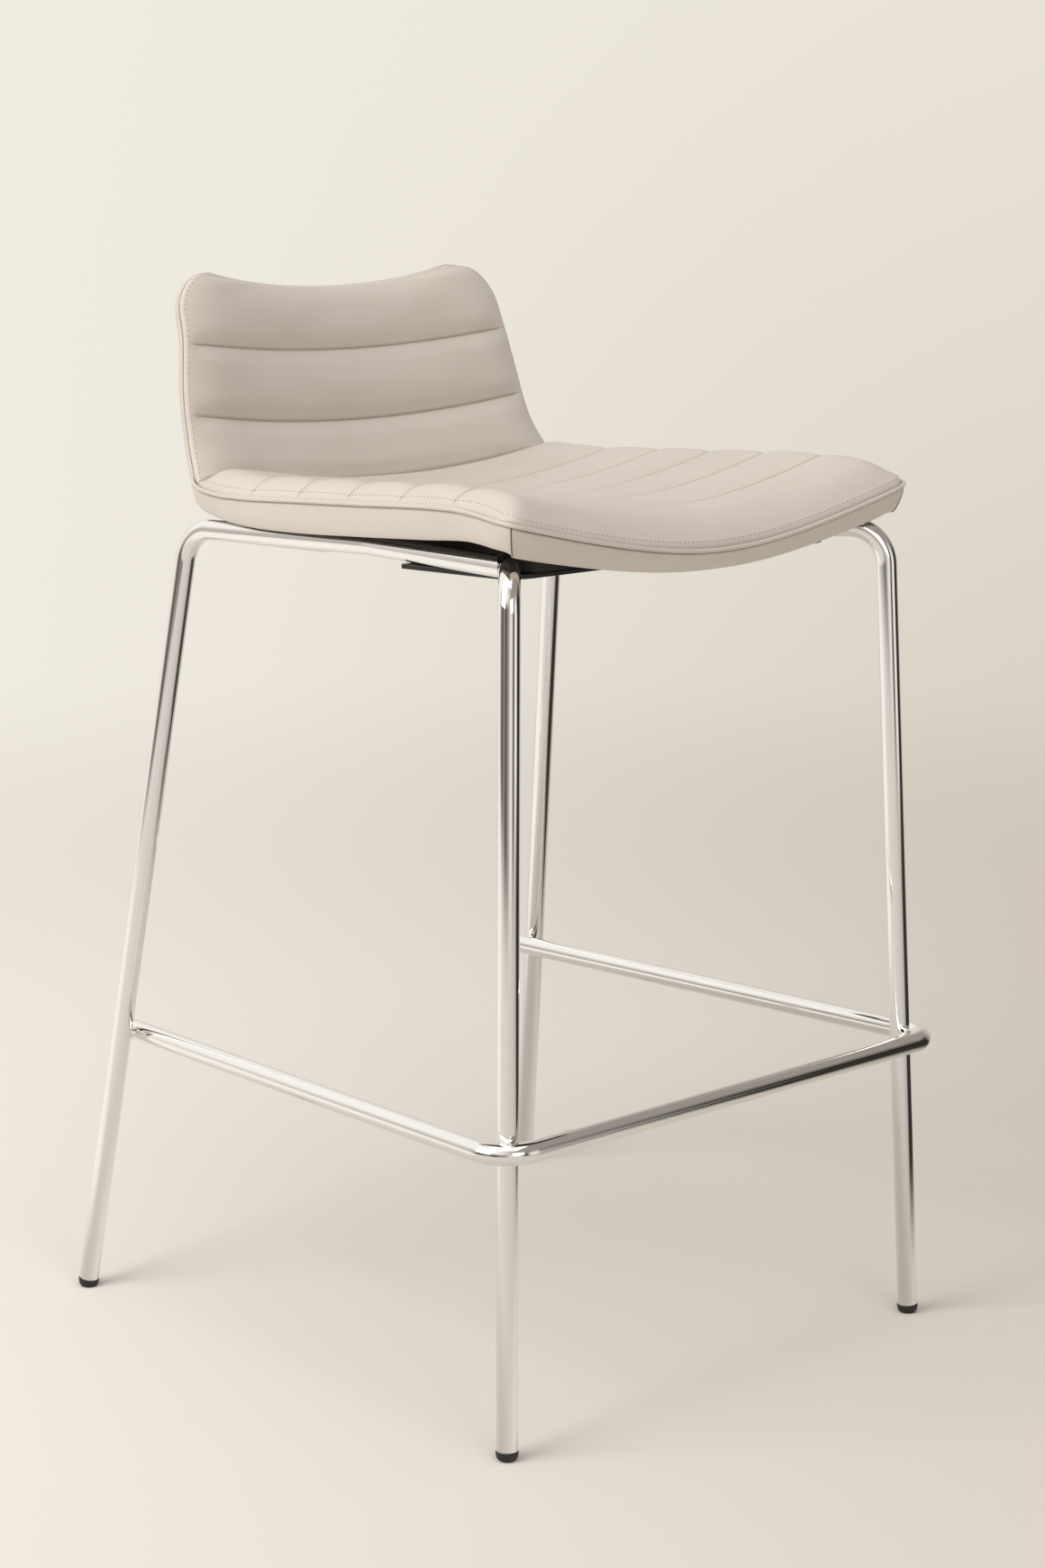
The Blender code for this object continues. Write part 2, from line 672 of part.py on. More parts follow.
# Battens: dark blocks between the plate and the shell's sides, their front outer corners cut off for the stubs
def seat_batten(label, side):
    rings = []
    for y in (BATTEN_FRONT_Y, BATTEN_FRONT_Y + BATTEN_CUT_LENGTH, -0.160, -0.110, -0.060, BATTEN_REAR_Y):
        outer = BATTEN_OUTER - (BATTEN_CUT if y == BATTEN_FRONT_Y else 0)
        xs = [BATTEN_INNER + (outer - BATTEN_INNER) * k / 5 for k in range(6)]
        ring = [Vector((x * side, y, underside(x, y) - LAYER_GAP)) for x in xs]
        floor = PLATE_TOP + GAP
        ring += [Vector((xs[-1] * side, y, floor)), Vector((xs[0] * side, y, floor))]
        rings.append(ring)
    add(label + "_seat_batten", loft(rings), SHELL, 30)


def roll(distance, radius):
    """Share of a pad's height at a distance from its sewn edge: a quarter round."""
    t = 1 - min(max(distance, 0) / radius, 1)
    return math.sqrt(1 - t * t)


# Pads: rolled over at their edges and drawn in along their sewn channels
def pad(name, arcs, seams, thickness, start_roll, end_roll):
    def height(u, v):
        s = arc_at(v)
        across = roll((1 - abs(u)) * half_width(bowed(1, v)) - PAD_EDGE_INSET, PAD_ROLL)
        full = thickness * across * roll(s - arcs[0], start_roll) * roll(arcs[-1] - s, end_roll)
        for seam in seams:
            full -= CHANNEL_DEPTH * max(1 - abs(s - seam) / CHANNEL_HALF, 0) * across
        return LAYER_GAP + PAD_EDGE + max(full, 0)

    insets = (0.0, 0.0025, 0.008, 0.016, 0.026)
    rows = [row_at(s, PAD_EDGE_INSET, insets) for s in arcs]
    slab(name, rows, height, lambda u, v: LAYER_GAP, LEATHER)


# Back cover: closes the back's rear face and wraps the core's edge to the front cover
def back_cover():
    first, last = arc_at(BACK_COVER_V), ARC_END - PAD_EDGE_INSET
    wrap = (CORE_INSET - PAD_EDGE_INSET) * 0.64
    core_end = ARC_END - CORE_TOP_INSET
    arcs = [first] + [s for s in BACK_ROWS if first + 0.002 < s < core_end - 0.001]
    arcs += [core_end, last - wrap - GAP, last - wrap, last - wrap / 3, last]
    rows = [row_at(s, PAD_EDGE_INSET, (0.0, wrap / 3, wrap, wrap + GAP, 2 * wrap)) for s in arcs]

    def edge_distance(u, v):
        side = (1 - abs(u)) * half_width(bowed(1, v)) - PAD_EDGE_INSET
        return min(side, last - arc_at(v))

    def inside(u, v):
        return -GAP if edge_distance(u, v) < wrap + GAP / 2 else -CORE_T - 2 * GAP

    def outside(u, v):
        full = CORE_T + GAP + BACK_COVER_T
        return -GAP - PAD_EDGE - (full - PAD_EDGE) * roll(edge_distance(u, v), BACK_RIM_ROLL)

    slab("back_cover", rows, inside, outside, LEATHER)


def seat_edge(end_v, side_steps=26, front_steps=18):
    """The seat's sewn edge from the left rear, round the front, to the right rear."""
    places = [(-1, end_v * (1 - k / side_steps)) for k in range(side_steps)]
    places += [(-1 + 2 * k / front_steps, 0) for k in range(front_steps + 1)]
    places += [(1, end_v * k / side_steps) for k in range(1, side_steps + 1)]
    line = [sheet(u, v) for u, v in places]
    out = []
    for k, p in enumerate(line):
        ahead = line[min(k + 1, len(line) - 1)] - line[max(k - 1, 0)]
        out.append((p, Vector((-ahead.y, ahead.x, 0)).normalized(), places[k]))
    return out


# Skirt: the band of cover that closes the seat's edge below the piping
def seat_skirt():
    rings = []
    down = Vector((0, 0, -1))
    top = PIPING_D / 2 + GAP
    for p, inward, (u, v) in seat_edge(SKIRT_END_V):
        drop = spline(SKIRT_DROPS, v)
        if v == 0:
            drop = SKIRT_FRONT_DROP + (drop - SKIRT_FRONT_DROP) * (math.hypot(u, 0.1) - 0.1) / 0.905
        facing = max(inward.y, 0) ** 2
        lean = (SKIRT_SIDE_LEAN + (SKIRT_FRONT_LEAN - SKIRT_SIDE_LEAN) * facing) * drop / SKIRT_DROPS[0]
        start = p + inward * GAP
        rings.append((
            start + down * top,
            start + inward * lean * 0.4 + down * (top + (drop - top) * 0.5),
            start + inward * lean + down * drop,
            start + inward * (lean + SKIRT_T) + down * drop,
            start + inward * (lean * 0.4 + SKIRT_T) + down * (top + (drop - top) * 0.5),
            start + inward * SKIRT_T + down * (top + 0.35 * SKIRT_T),
        ))
    add("seat_skirt", loft(rings), LEATHER, 50)


# Piping: the round cord sewn between the seat cover and the skirt
def seat_piping():
    path = [p for p, _, _ in seat_edge(SKIRT_END_V)]
    add("seat_piping", loft(rings_along(path, PIPING_D / 2, 6)), LEATHER)


for label, side in (("left", -1), ("right", 1)):
    front_leg("front_" + label + "_leg", side)
    side_tube(label + "_side_tube", side)
    glide("front_" + label + "_glide", front_leg_axis, side)
    glide("rear_" + label + "_glide", rear_leg_axis, side)
    rear_lug(label, side)
footrest()
rear_cross_rail()
front_mounting_plate()
for fixing in FIXINGS:
    spacer(fixing)
    screw(fixing)
seat_batten("left", -1)
seat_batten("right", 1)
moulded_shell()
pad("seat_pad", SEAT_ROWS, SEAT_SEAMS, SEAT_PAD_T, PAD_ROLL, CREASE_ROLL)
pad("back_pad", BACK_ROWS, BACK_SEAMS, BACK_PAD_T, CREASE_ROLL, PAD_ROLL)
back_cover()
seat_skirt()
seat_piping()
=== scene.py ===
"""Looks of a bar stool: chromed tube frame, footrest and a channel-stitched leather seat with a low back.

Metres, +Z up, the seat faces -Y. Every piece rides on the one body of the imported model.
"""
import math

import bmesh
import bpy
import numpy as np
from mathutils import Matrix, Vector
from mathutils.bvhtree import BVHTree


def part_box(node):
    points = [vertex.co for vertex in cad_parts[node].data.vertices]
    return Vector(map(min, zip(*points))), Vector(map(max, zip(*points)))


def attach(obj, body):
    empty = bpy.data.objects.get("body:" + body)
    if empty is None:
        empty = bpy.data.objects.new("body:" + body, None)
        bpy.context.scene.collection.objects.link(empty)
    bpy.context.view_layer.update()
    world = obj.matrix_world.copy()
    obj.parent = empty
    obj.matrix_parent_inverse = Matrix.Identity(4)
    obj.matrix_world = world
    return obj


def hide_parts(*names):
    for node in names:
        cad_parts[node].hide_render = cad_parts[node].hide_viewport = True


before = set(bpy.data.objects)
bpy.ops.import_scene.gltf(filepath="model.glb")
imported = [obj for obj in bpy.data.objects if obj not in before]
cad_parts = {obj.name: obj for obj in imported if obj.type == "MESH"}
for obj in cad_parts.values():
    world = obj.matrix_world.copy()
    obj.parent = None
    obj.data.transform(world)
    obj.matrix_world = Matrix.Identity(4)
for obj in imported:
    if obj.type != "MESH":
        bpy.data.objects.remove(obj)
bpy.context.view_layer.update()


# Room: a pale seamless floor and backdrop, soft lamps and the camera at the photograph's angle.
# The floor turns into the colour of the room away from the stool, so that no horizon shows.
# Polished metal also sees the cards and windows that stand round such a studio, by their direction: they
# are painted reflections, which the world and the floor show only to reflected rays.
CAMERA_PLACE = (-1.8191, -2.0423, 1.0496)
CAMERA_TURN = (78.3332, 0.0, -41.9453)
CAMERA_LENS = 71.54
CAMERA_SENSOR = 36.0
CAMERA_SIGHT = 100.0
PHOTO_RIGHT = (0.744, -0.668, 0.0)
PHOTO_NEAR = (-0.668, -0.744, 0.0)
# Pairs named TURN, RISE and FADE are the ends of a soft step: left to right, upwards and outwards.
# The backdrop's shades are painted light: lighter to the left and upwards, darker to the right, where a
# painted shade lies on the wall.
ROOM_LEFT = (0.890, 0.845, 0.765, 1)
ROOM_RIGHT = (0.660, 0.595, 0.505, 1)
ROOM_TURN = (-0.24, 0.22)
ROOM_HIGH = (0.880, 0.840, 0.755, 1)
ROOM_HIGH_SHARE = 0.75
ROOM_RISE = (-0.30, 0.12)
ROOM_LIGHT = 0.60
ROOM_LIGHT_COLOUR = (1.0, 0.965, 0.91, 1)
CEILING_LEFT = (1.0, 0.965, 0.91, 1)
CEILING_RIGHT = (0.33, 0.295, 0.26, 1)
CEILING_TURN = (-0.45, 0.45)
CEILING_RISE = (0.10, 0.55)
# The floor's paint is darker towards the right: a painted fall-off of the light.
FLOOR_LEFT = (0.785, 0.760, 0.728, 1)
FLOOR_RIGHT = (0.655, 0.612, 0.565, 1)
FLOOR_TURN = (-0.8, 0.9)
FLOOR_BOUNCE = (0.86, 0.83, 0.79, 1)
FLOOR_HALF = 70.0
FLOOR_CELLS = 8
FLOOR_FADE = (0.9, 3.6)
FLOOR_GLOSSY_FADE = (0.45, 0.90)
NEAR_TO_FAR_FADE = (2.4, 4.4)
CARD_WARMTH = (1.0, 0.958, 0.895)
DARK_WARMTH = (1.0, 0.885, 0.770)
# Painted reflections: the cards' levels by degrees round the stool, far off in the world and near by on the
# floor.
FAR_CARDS = (
    (-180, 0.72), (-135, 0.80), (-128, 1.00), (-110, 1.00), (-99, 0.56), (-88, 0.50), (-76, 0.10),
    (-62, 0.12), (-52, 0.30), (-44, 0.28), (-36, 0.09), (-27, 0.09), (-18, 0.28), (-4, 0.34), (8, 0.80),
    (28, 0.85), (38, 0.12), (48, 0.09), (58, 0.90), (76, 0.85), (86, 0.025), (116, 0.025), (130, 0.30),
    (150, 0.60), (180, 0.72),
)
NEAR_CARDS = (
    (-180, 0.66), (-140, 0.72), (-125, 1.00), (-80, 0.98), (-62, 0.78), (0, 0.70), (40, 0.63), (66, 0.50),
    (78, 0.035), (118, 0.035), (132, 0.45), (180, 0.66),
)
LAMP_COLOUR = (1.0, 0.97, 0.925)
# Each lamp's name, place, aim, size and power.
LAMPS = (
    ("key_lamp", (-2.7, 0.5, 2.1), (0.0, 0.0, 0.65), 2.2, 56.0),
    ("top_lamp", (-0.4, -0.3, 3.0), (0.0, 0.0, 0.70), 2.4, 22.0),
    ("front_lamp", (-1.0, -3.2, 1.5), (0.0, 0.0, 0.60), 1.6, 8.5),
)


def node(tree, kind, inputs=None, **settings):
    """Add a node; an input is a value or another node's output."""
    made = tree.nodes.new(kind)
    for name, value in settings.items():
        setattr(made, name, value)
    for key, value in (inputs or {}).items():
        if isinstance(value, bpy.types.NodeSocket):
            tree.links.new(value, made.inputs[key])
        else:
            made.inputs[key].default_value = value
    return made


def math_node(tree, operation, a, b=0.0):
    return node(tree, "ShaderNodeMath", {0: a, 1: b}, operation=operation).outputs[0]


def vector_node(tree, operation, a, b=(0.0, 0.0, 0.0)):
    return node(tree, "ShaderNodeVectorMath", {0: a, 1: b}, operation=operation).outputs


def smooth_range(tree, value, ends):
    """0 below the first end, 1 above the second and a soft step between them."""
    inputs = {"Value": value, "From Min": ends[0], "From Max": ends[1]}
    return node(tree, "ShaderNodeMapRange", inputs, interpolation_type="SMOOTHSTEP").outputs[0]


def mix_colours(tree, factor, first, second):
    shades = {"Factor": factor, 6: first, 7: second}
    return node(tree, "ShaderNodeMix", shades, data_type="RGBA").outputs[2]


def card_ramp(tree, angle, cards):
    """Shade by angle round the stool, from pairs of degrees and level."""
    ramp = node(tree, "ShaderNodeValToRGB", {"Fac": angle})
    stops = ramp.color_ramp.elements
    while len(stops) < len(cards):
        stops.new(1.0)
    for stop, (degrees, level) in zip(stops, cards):
        stop.position = (degrees + 180) / 360
        tint = [dark + (light - dark) * min(level, 1.0) for dark, light in zip(DARK_WARMTH, CARD_WARMTH)]
        stop.color = (*[level * share for share in tint], 1)
    return ramp.outputs["Color"]


def add_sockets(tree, way, kind, *labels):
    for label in labels:
        tree.interface.new_socket(label, in_out=way, socket_type="NodeSocket" + kind)


def room_cards():
    """What shows round the stool by direction: the backdrop's shade, and the far and near cards."""
    tree = bpy.data.node_groups.new("room_cards", "ShaderNodeTree")
    add_sockets(tree, "INPUT", "Vector", "Direction")
    add_sockets(tree, "OUTPUT", "Color", "Backdrop", "Ceiling", "Far", "Near")
    given = node(tree, "NodeGroupInput").outputs["Direction"]
    flat = vector_node(tree, "NORMALIZE", given)[0]
    aside = vector_node(tree, "DOT_PRODUCT", flat, PHOTO_RIGHT)["Value"]
    near = vector_node(tree, "DOT_PRODUCT", flat, PHOTO_NEAR)["Value"]
    turn = math_node(tree, "DIVIDE", math_node(tree, "ARCTAN2", aside, near), 2 * math.pi)
    angle = math_node(tree, "ADD", turn, 0.5)
    height = node(tree, "ShaderNodeSeparateXYZ", {0: flat}).outputs["Z"]
    wall = mix_colours(tree, smooth_range(tree, aside, ROOM_TURN), ROOM_LEFT, ROOM_RIGHT)
    raised = math_node(tree, "MULTIPLY", smooth_range(tree, height, ROOM_RISE), ROOM_HIGH_SHARE)
    across = smooth_range(tree, aside, CEILING_TURN)
    node(tree, "NodeGroupOutput", {
        "Backdrop": mix_colours(tree, raised, wall, ROOM_HIGH),
        "Ceiling": mix_colours(tree, across, CEILING_LEFT, CEILING_RIGHT),
        "Far": card_ramp(tree, angle, FAR_CARDS),
        "Near": card_ramp(tree, angle, NEAR_CARDS),
    })
    return tree


ROOM_CARDS = room_cards()


def cards_at(tree, direction):
    return node(tree, "ShaderNodeGroup", {"Direction": direction}, node_tree=ROOM_CARDS).outputs


def linked(name, data):
    """New object in the scene, at the origin."""
    made = bpy.data.objects.new(name, data)
    bpy.context.scene.collection.objects.link(made)
    return made


def make_room():
    world = bpy.data.worlds.new("room")
    bpy.context.scene.world = world
    world.use_nodes = True
    tree = world.node_tree
    tree.nodes.clear()
    path = node(tree, "ShaderNodeLightPath").outputs
    direction = node(tree, "ShaderNodeTexCoord").outputs["Generated"]
    cards = cards_at(tree, direction)
    height = node(tree, "ShaderNodeSeparateXYZ", {0: direction}).outputs["Z"]
    reflected = mix_colours(tree, smooth_range(tree, height, CEILING_RISE), cards["Far"], cards["Ceiling"])
    seen = mix_colours(tree, path["Is Glossy Ray"], cards["Backdrop"], reflected)
    shown = math_node(tree, "MAXIMUM", path["Is Camera Ray"], path["Is Glossy Ray"])
    shown = math_node(tree, "MAXIMUM", shown, path["Is Transmission Ray"])
    direct = node(tree, "ShaderNodeBackground", {"Color": seen, "Strength": 1.0})
    light = node(tree, "ShaderNodeBackground", {"Color": ROOM_LIGHT_COLOUR, "Strength": ROOM_LIGHT})
    mixed = node(tree, "ShaderNodeMixShader", {0: shown, 1: light.outputs[0], 2: direct.outputs[0]})
    node(tree, "ShaderNodeOutputWorld", {0: mixed.outputs[0]})


def make_floor():
    bm = bmesh.new()
    bmesh.ops.create_grid(bm, x_segments=FLOOR_CELLS, y_segments=FLOOR_CELLS, size=FLOOR_HALF)
    mesh = bpy.data.meshes.new("floor")
    bm.to_mesh(mesh)
    bm.free()
    paper = bpy.data.materials.new("floor_paper")
    paper.use_nodes = True
    tree = paper.node_tree
    tree.nodes.clear()
    path = node(tree, "ShaderNodeLightPath").outputs
    place = node(tree, "ShaderNodeTexCoord").outputs["Object"]
    distance = vector_node(tree, "LENGTH", place)["Value"]
    cards = cards_at(tree, place)
    far = smooth_range(tree, distance, NEAR_TO_FAR_FADE)
    reflected = mix_colours(tree, far, cards["Near"], cards["Far"])
    behind = cards_at(tree, vector_node(tree, "SUBTRACT", place, CAMERA_PLACE)[0])
    seen = mix_colours(tree, path["Is Glossy Ray"], behind["Backdrop"], reflected)
    direct = math_node(tree, "MAXIMUM", path["Is Camera Ray"], path["Is Transmission Ray"])
    plain = math_node(tree, "MULTIPLY", smooth_range(tree, distance, FLOOR_FADE), direct)
    # Painted reflections: away from the stool the floor glows with the near and far cards for reflected
    # rays.
    mirror = smooth_range(tree, distance, FLOOR_GLOSSY_FADE)
    glossy = math_node(tree, "MULTIPLY", mirror, path["Is Glossy Ray"])
    # Painted fall-off of the light: the floor's paint darkens from left to right.
    aside = vector_node(tree, "DOT_PRODUCT", place, PHOTO_RIGHT)["Value"]
    paint = mix_colours(tree, smooth_range(tree, aside, FLOOR_TURN), FLOOR_LEFT, FLOOR_RIGHT)
    paint = mix_colours(tree, path["Is Diffuse Ray"], paint, FLOOR_BOUNCE)
    matt = node(tree, "ShaderNodeBsdfDiffuse", {"Color": paint, "Roughness": 1.0})
    room = node(tree, "ShaderNodeEmission", {"Color": seen, "Strength": 1.0})
    fade = math_node(tree, "MAXIMUM", plain, glossy)
    mixed = node(tree, "ShaderNodeMixShader", {0: fade, 1: matt.outputs[0], 2: room.outputs[0]})
    node(tree, "ShaderNodeOutputMaterial", {0: mixed.outputs[0]})
    mesh.materials.append(paper)
    floor = linked("floor", mesh)


def make_lamps():
    for name, place, aim, size, power in LAMPS:
        lamp = bpy.data.lights.new(name, "AREA")
        lamp.shape = "SQUARE"
        lamp.size = size
        lamp.energy = power
        lamp.color = LAMP_COLOUR
        carrier = linked(name, lamp)
        carrier.location = place
        carrier.rotation_euler = (Vector(aim) - Vector(place)).to_track_quat("-Z", "Y").to_euler()


def make_camera():
    data = bpy.data.cameras.new("camera")
    data.lens = CAMERA_LENS
    data.sensor_width = CAMERA_SENSOR
    data.clip_end = CAMERA_SIGHT
    camera = linked("camera", data)
    camera.location = CAMERA_PLACE
    camera.rotation_euler = [math.radians(a) for a in CAMERA_TURN]
    bpy.context.scene.camera = camera


bpy.context.scene.view_settings.view_transform = "Standard"
make_room()
make_floor()
make_lamps()
make_camera()


# Side tubes and front legs: 18 mm round steel tube, bent cold, polished and chromed.
# Each side tube is a rear leg and a seat rail in one, the rail's end mitred to the front leg's stub.
# Each front leg is bent inwards at the top, so that its stub lies on the mounting plate.
TUBE_R = 0.009
TUBE_WALL = 0.0018
TUBE_SIDES = 44
GAP = 0.0003
RAIL_Z = 0.721
SEAT_HALF = 0.227
# Places along the seat are measured from a line this far behind the mounting plate's front edge.
PLATE_FRONT = 0.2355
SHIFT_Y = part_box("front_mounting_plate")[0].y + PLATE_FRONT
FRONT_FOOT = Vector((0.2455, -0.2945 + SHIFT_Y, 0.0))
FRONT_TOP = Vector((SEAT_HALF - 0.0079, -0.2687 + SHIFT_Y, RAIL_Z))
REAR_FOOT = Vector((0.2748, 0.2629 + SHIFT_Y, 0.0))
REAR_TOP = Vector((SEAT_HALF - 0.0097, 0.155 + SHIFT_Y, RAIL_Z - 0.0038))
RAIL_KINK = Vector((SEAT_HALF - 0.030, -0.070 + SHIFT_Y, RAIL_Z + 0.0012))
RAIL_END_X = SEAT_HALF - 0.024
STUB_AIM = Vector((0.0, -0.0229 + SHIFT_Y, RAIL_Z))
STUB_LENGTH = 0.060
LEG_BEND = 0.034
REAR_BEND = 0.035
KINK_BEND = 0.060
GLIDE_HEIGHT = 0.0085
BEND_STEPS = 22
BEND_LEAD = 0.0015
MITRE_ZONE_Y = -0.15
SHARP_ANGLE = math.radians(42)
HALVES = (("left", -1), ("right", 1))
CLOUD_DETAIL = 3.0
FINE_DETAIL = 2.0
FINE_SCALE = 0.35


def socket_id(tree, label):
    """A named input's identifier, which is what a modifier is set by."""
    for item in tree.interface.items_tree:
        if item.name == label and item.in_out == "INPUT":
            return item.identifier
    raise KeyError(label)


def new_tree(name, inputs):
    """Geometry Nodes tree with a Geometry input and output and named inputs for its sizes."""
    tree = bpy.data.node_groups.new(name, "GeometryNodeTree")
    for label, kind in (("Geometry", "Geometry"), *inputs):
        add_sockets(tree, "INPUT", kind, label)
    add_sockets(tree, "OUTPUT", "Geometry", "Geometry")
    return tree, node(tree, "NodeGroupInput").outputs


def close_tree(tree, geometry, finish):
    """End a tree: smooth faces, real geometry in place of instances, and the finish."""
    smooth = node(tree, "GeometryNodeSetShadeSmooth", {"Geometry": geometry})
    real = node(tree, "GeometryNodeRealizeInstances", {"Geometry": smooth.outputs[0]})
    dressed = node(tree, "GeometryNodeSetMaterial", {"Geometry": real.outputs[0], "Material": finish})
    node(tree, "NodeGroupOutput", {"Geometry": dressed.outputs[0]})


def evaluated_mesh(carrier):
    """Plain mesh of an object with its modifiers applied, which are then removed."""
    bpy.context.view_layer.update()
    graph = bpy.context.evaluated_depsgraph_get()
    made = bpy.data.meshes.new_from_object(carrier.evaluated_get(graph), depsgraph=graph)
    carrier.modifiers.clear()
    return made


def piece_from_tree(name, mesh, tree, values, wall=0.0):
    """Run a tree on a mesh and keep the result as a plain piece at the origin."""
    carrier = linked(name, mesh)
    run = carrier.modifiers.new("nodes", "NODES")
    run.node_group = tree
    for label, value in values.items():
        run[socket_id(tree, label)] = value
    if wall:
        thick = carrier.modifiers.new("wall", "SOLIDIFY")
        thick.thickness = wall
        thick.offset = -1.0
    made = evaluated_mesh(carrier)
    if wall:
        made.set_sharp_from_angle(angle=SHARP_ANGLE)
    carrier.data = made
    made.name = name
    return carrier


def line_mesh(name, *runs):
    """Open lines of edges, one through each run of points."""
    mesh = bpy.data.meshes.new(name)
    edges = []
    count = 0
    for run in runs:
        edges += [(k, k + 1) for k in range(count, count + len(run) - 1)]
        count += len(run)
    mesh.from_pydata([tuple(p) for run in runs for p in run], edges, [])
    return mesh


def material(name):
    made = bpy.data.materials.new(name)
    made.use_nodes = True
    return made, made.node_tree, made.node_tree.nodes["Principled BSDF"]


def surface_grain():
    """Shared effect: fine grain, cloudy tone and roughness over a surface in Object coordinates."""
    tree = bpy.data.node_groups.new("surface_grain", "ShaderNodeTree")
    add_sockets(tree, "INPUT", "Float", "Cell Scale", "Cloud Scale")
    add_sockets(tree, "OUTPUT", "Float", "Grain", "Cloud", "Fine")
    given = node(tree, "NodeGroupInput").outputs
    place = node(tree, "ShaderNodeTexCoord").outputs["Object"]
    celled = {"Vector": place, "Scale": given["Cell Scale"]}
    cells = node(tree, "ShaderNodeTexVoronoi", celled, feature="SMOOTH_F1")
    clouded = {"Vector": place, "Scale": given["Cloud Scale"], "Detail": CLOUD_DETAIL}
    cloud = node(tree, "ShaderNodeTexNoise", clouded)
    finer = math_node(tree, "MULTIPLY", given["Cell Scale"], FINE_SCALE)
    fine = node(tree, "ShaderNodeTexNoise", {"Vector": place, "Scale": finer, "Detail": FINE_DETAIL})
    node(tree, "NodeGroupOutput", {
        "Grain": cells.outputs["Distance"], "Cloud": cloud.outputs["Fac"], "Fine": fine.outputs["Fac"],
    })
    return tree


SURFACE_GRAIN = surface_grain()


def grain(tree, cells, clouds):
    scales = {"Cell Scale": cells, "Cloud Scale": clouds}
    return node(tree, "ShaderNodeGroup", scales, node_tree=SURFACE_GRAIN).outputs


def ranged(tree, value, low, high):
    """A 0 to 1 value spread between low and high."""
    return node(tree, "ShaderNodeMapRange", {"Value": value, "To Min": low, "To Max": high}).outputs[0]


def tone(tree, factor, dark, light):
    return mix_colours(tree, factor, (*dark, 1), (*light, 1))


def plain_finish(name, cells, clouds, dark, light, rough, rough_by="Fine", bump=None, metallic=0.0):
    """Material with a cloudy tone and spread roughness; bump is a strength and a depth, where given."""
    made, tree, shader = material(name)
    spread = grain(tree, cells, clouds)
    tree.links.new(tone(tree, spread["Cloud"], dark, light), shader.inputs["Base Color"])
    tree.links.new(ranged(tree, spread[rough_by], *rough), shader.inputs["Roughness"])
    if bump:
        raised = {"Height": spread["Grain"], "Strength": bump[0], "Distance": bump[1]}
        tree.links.new(node(tree, "ShaderNodeBump", raised).outputs[0], shader.inputs["Normal"])
    shader.inputs["Metallic"].default_value = metallic
    return made


CHROME = plain_finish(
    "polished_chrome", cells=500.0, clouds=9.0, dark=(0.89, 0.88, 0.86), light=(0.95, 0.94, 0.92),
    rough=(0.035, 0.075), rough_by="Cloud", metallic=1.0,
)


def tube_tree():
    tree, given = new_tree("bent_tube", (("Radius", "Float"), ("Sides", "Int"), ("Finish", "Material")))
    path = node(tree, "GeometryNodeMeshToCurve", {"Mesh": given["Geometry"]})
    circle = {"Resolution": given["Sides"], "Radius": given["Radius"]}
    ring = node(tree, "GeometryNodeCurvePrimitiveCircle", circle)
    sweep = {"Curve": path.outputs[0], "Profile Curve": ring.outputs["Curve"]}
    swept = node(tree, "GeometryNodeCurveToMesh", sweep)
    close_tree(tree, swept.outputs[0], given["Finish"])
    return tree


TUBE_TREE = tube_tree()


def rounded_path(points, bends):
    """Straight runs through points, with an arc of the given radius at each inner corner."""
    path = [points[0]]
    for before, corner, after, radius in zip(points, points[1:], points[2:], bends):
        back = (before - corner).normalized()
        ahead = (after - corner).normalized()
        turn = math.pi - back.angle(ahead)
        middle = corner + (back + ahead).normalized() * (radius / math.cos(turn / 2))
        cut = radius * math.tan(turn / 2)
        start = corner + back * cut - middle
        path.append(corner + back * (cut + BEND_LEAD))
        for k in range(BEND_STEPS + 1):
            a = turn * k / BEND_STEPS
            path.append(middle + start * math.cos(a) - back * radius * math.sin(a))
        path.append(corner + ahead * (cut + BEND_LEAD))
    path.append(points[-1])
    return path


def mirrored(point, side):
    return Vector((point[0] * side, point[1], point[2]))


def front_axis(z):
    return FRONT_FOOT.lerp(FRONT_TOP, z / FRONT_TOP.z)


def rear_axis(z):
    return REAR_FOOT.lerp(REAR_TOP, z / REAR_TOP.z)


def tube(name, points, bends):
    path = rounded_path(points, bends)
    values = {"Radius": TUBE_R, "Sides": TUBE_SIDES, "Finish": CHROME}
    return piece_from_tree(name, line_mesh(name, path), TUBE_TREE, values, TUBE_WALL)


def slide_back(piece, along, depth_of):
    """Move the points past an end face back along the tube; depth_of says how far each lies past it."""
    count = len(piece.data.vertices)
    places = np.zeros(count * 3, np.float32)
    piece.data.vertices.foreach_get("co", places)
    places = places.reshape(-1, 3).astype(float)
    depth = depth_of(places)
    places -= np.maximum(depth, 0.0)[:, None] * np.array(along)
    piece.data.vertices.foreach_set("co", places.astype(np.float32).ravel())
    piece.data.update()


def settle(piece, slot, *node_names):
    """Give a finished piece its body and hide the CAD nodes that it stands for, if any; the finish slot is
    not used.
    """
    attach(piece, "root")
    if node_names:
        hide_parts(*node_names)


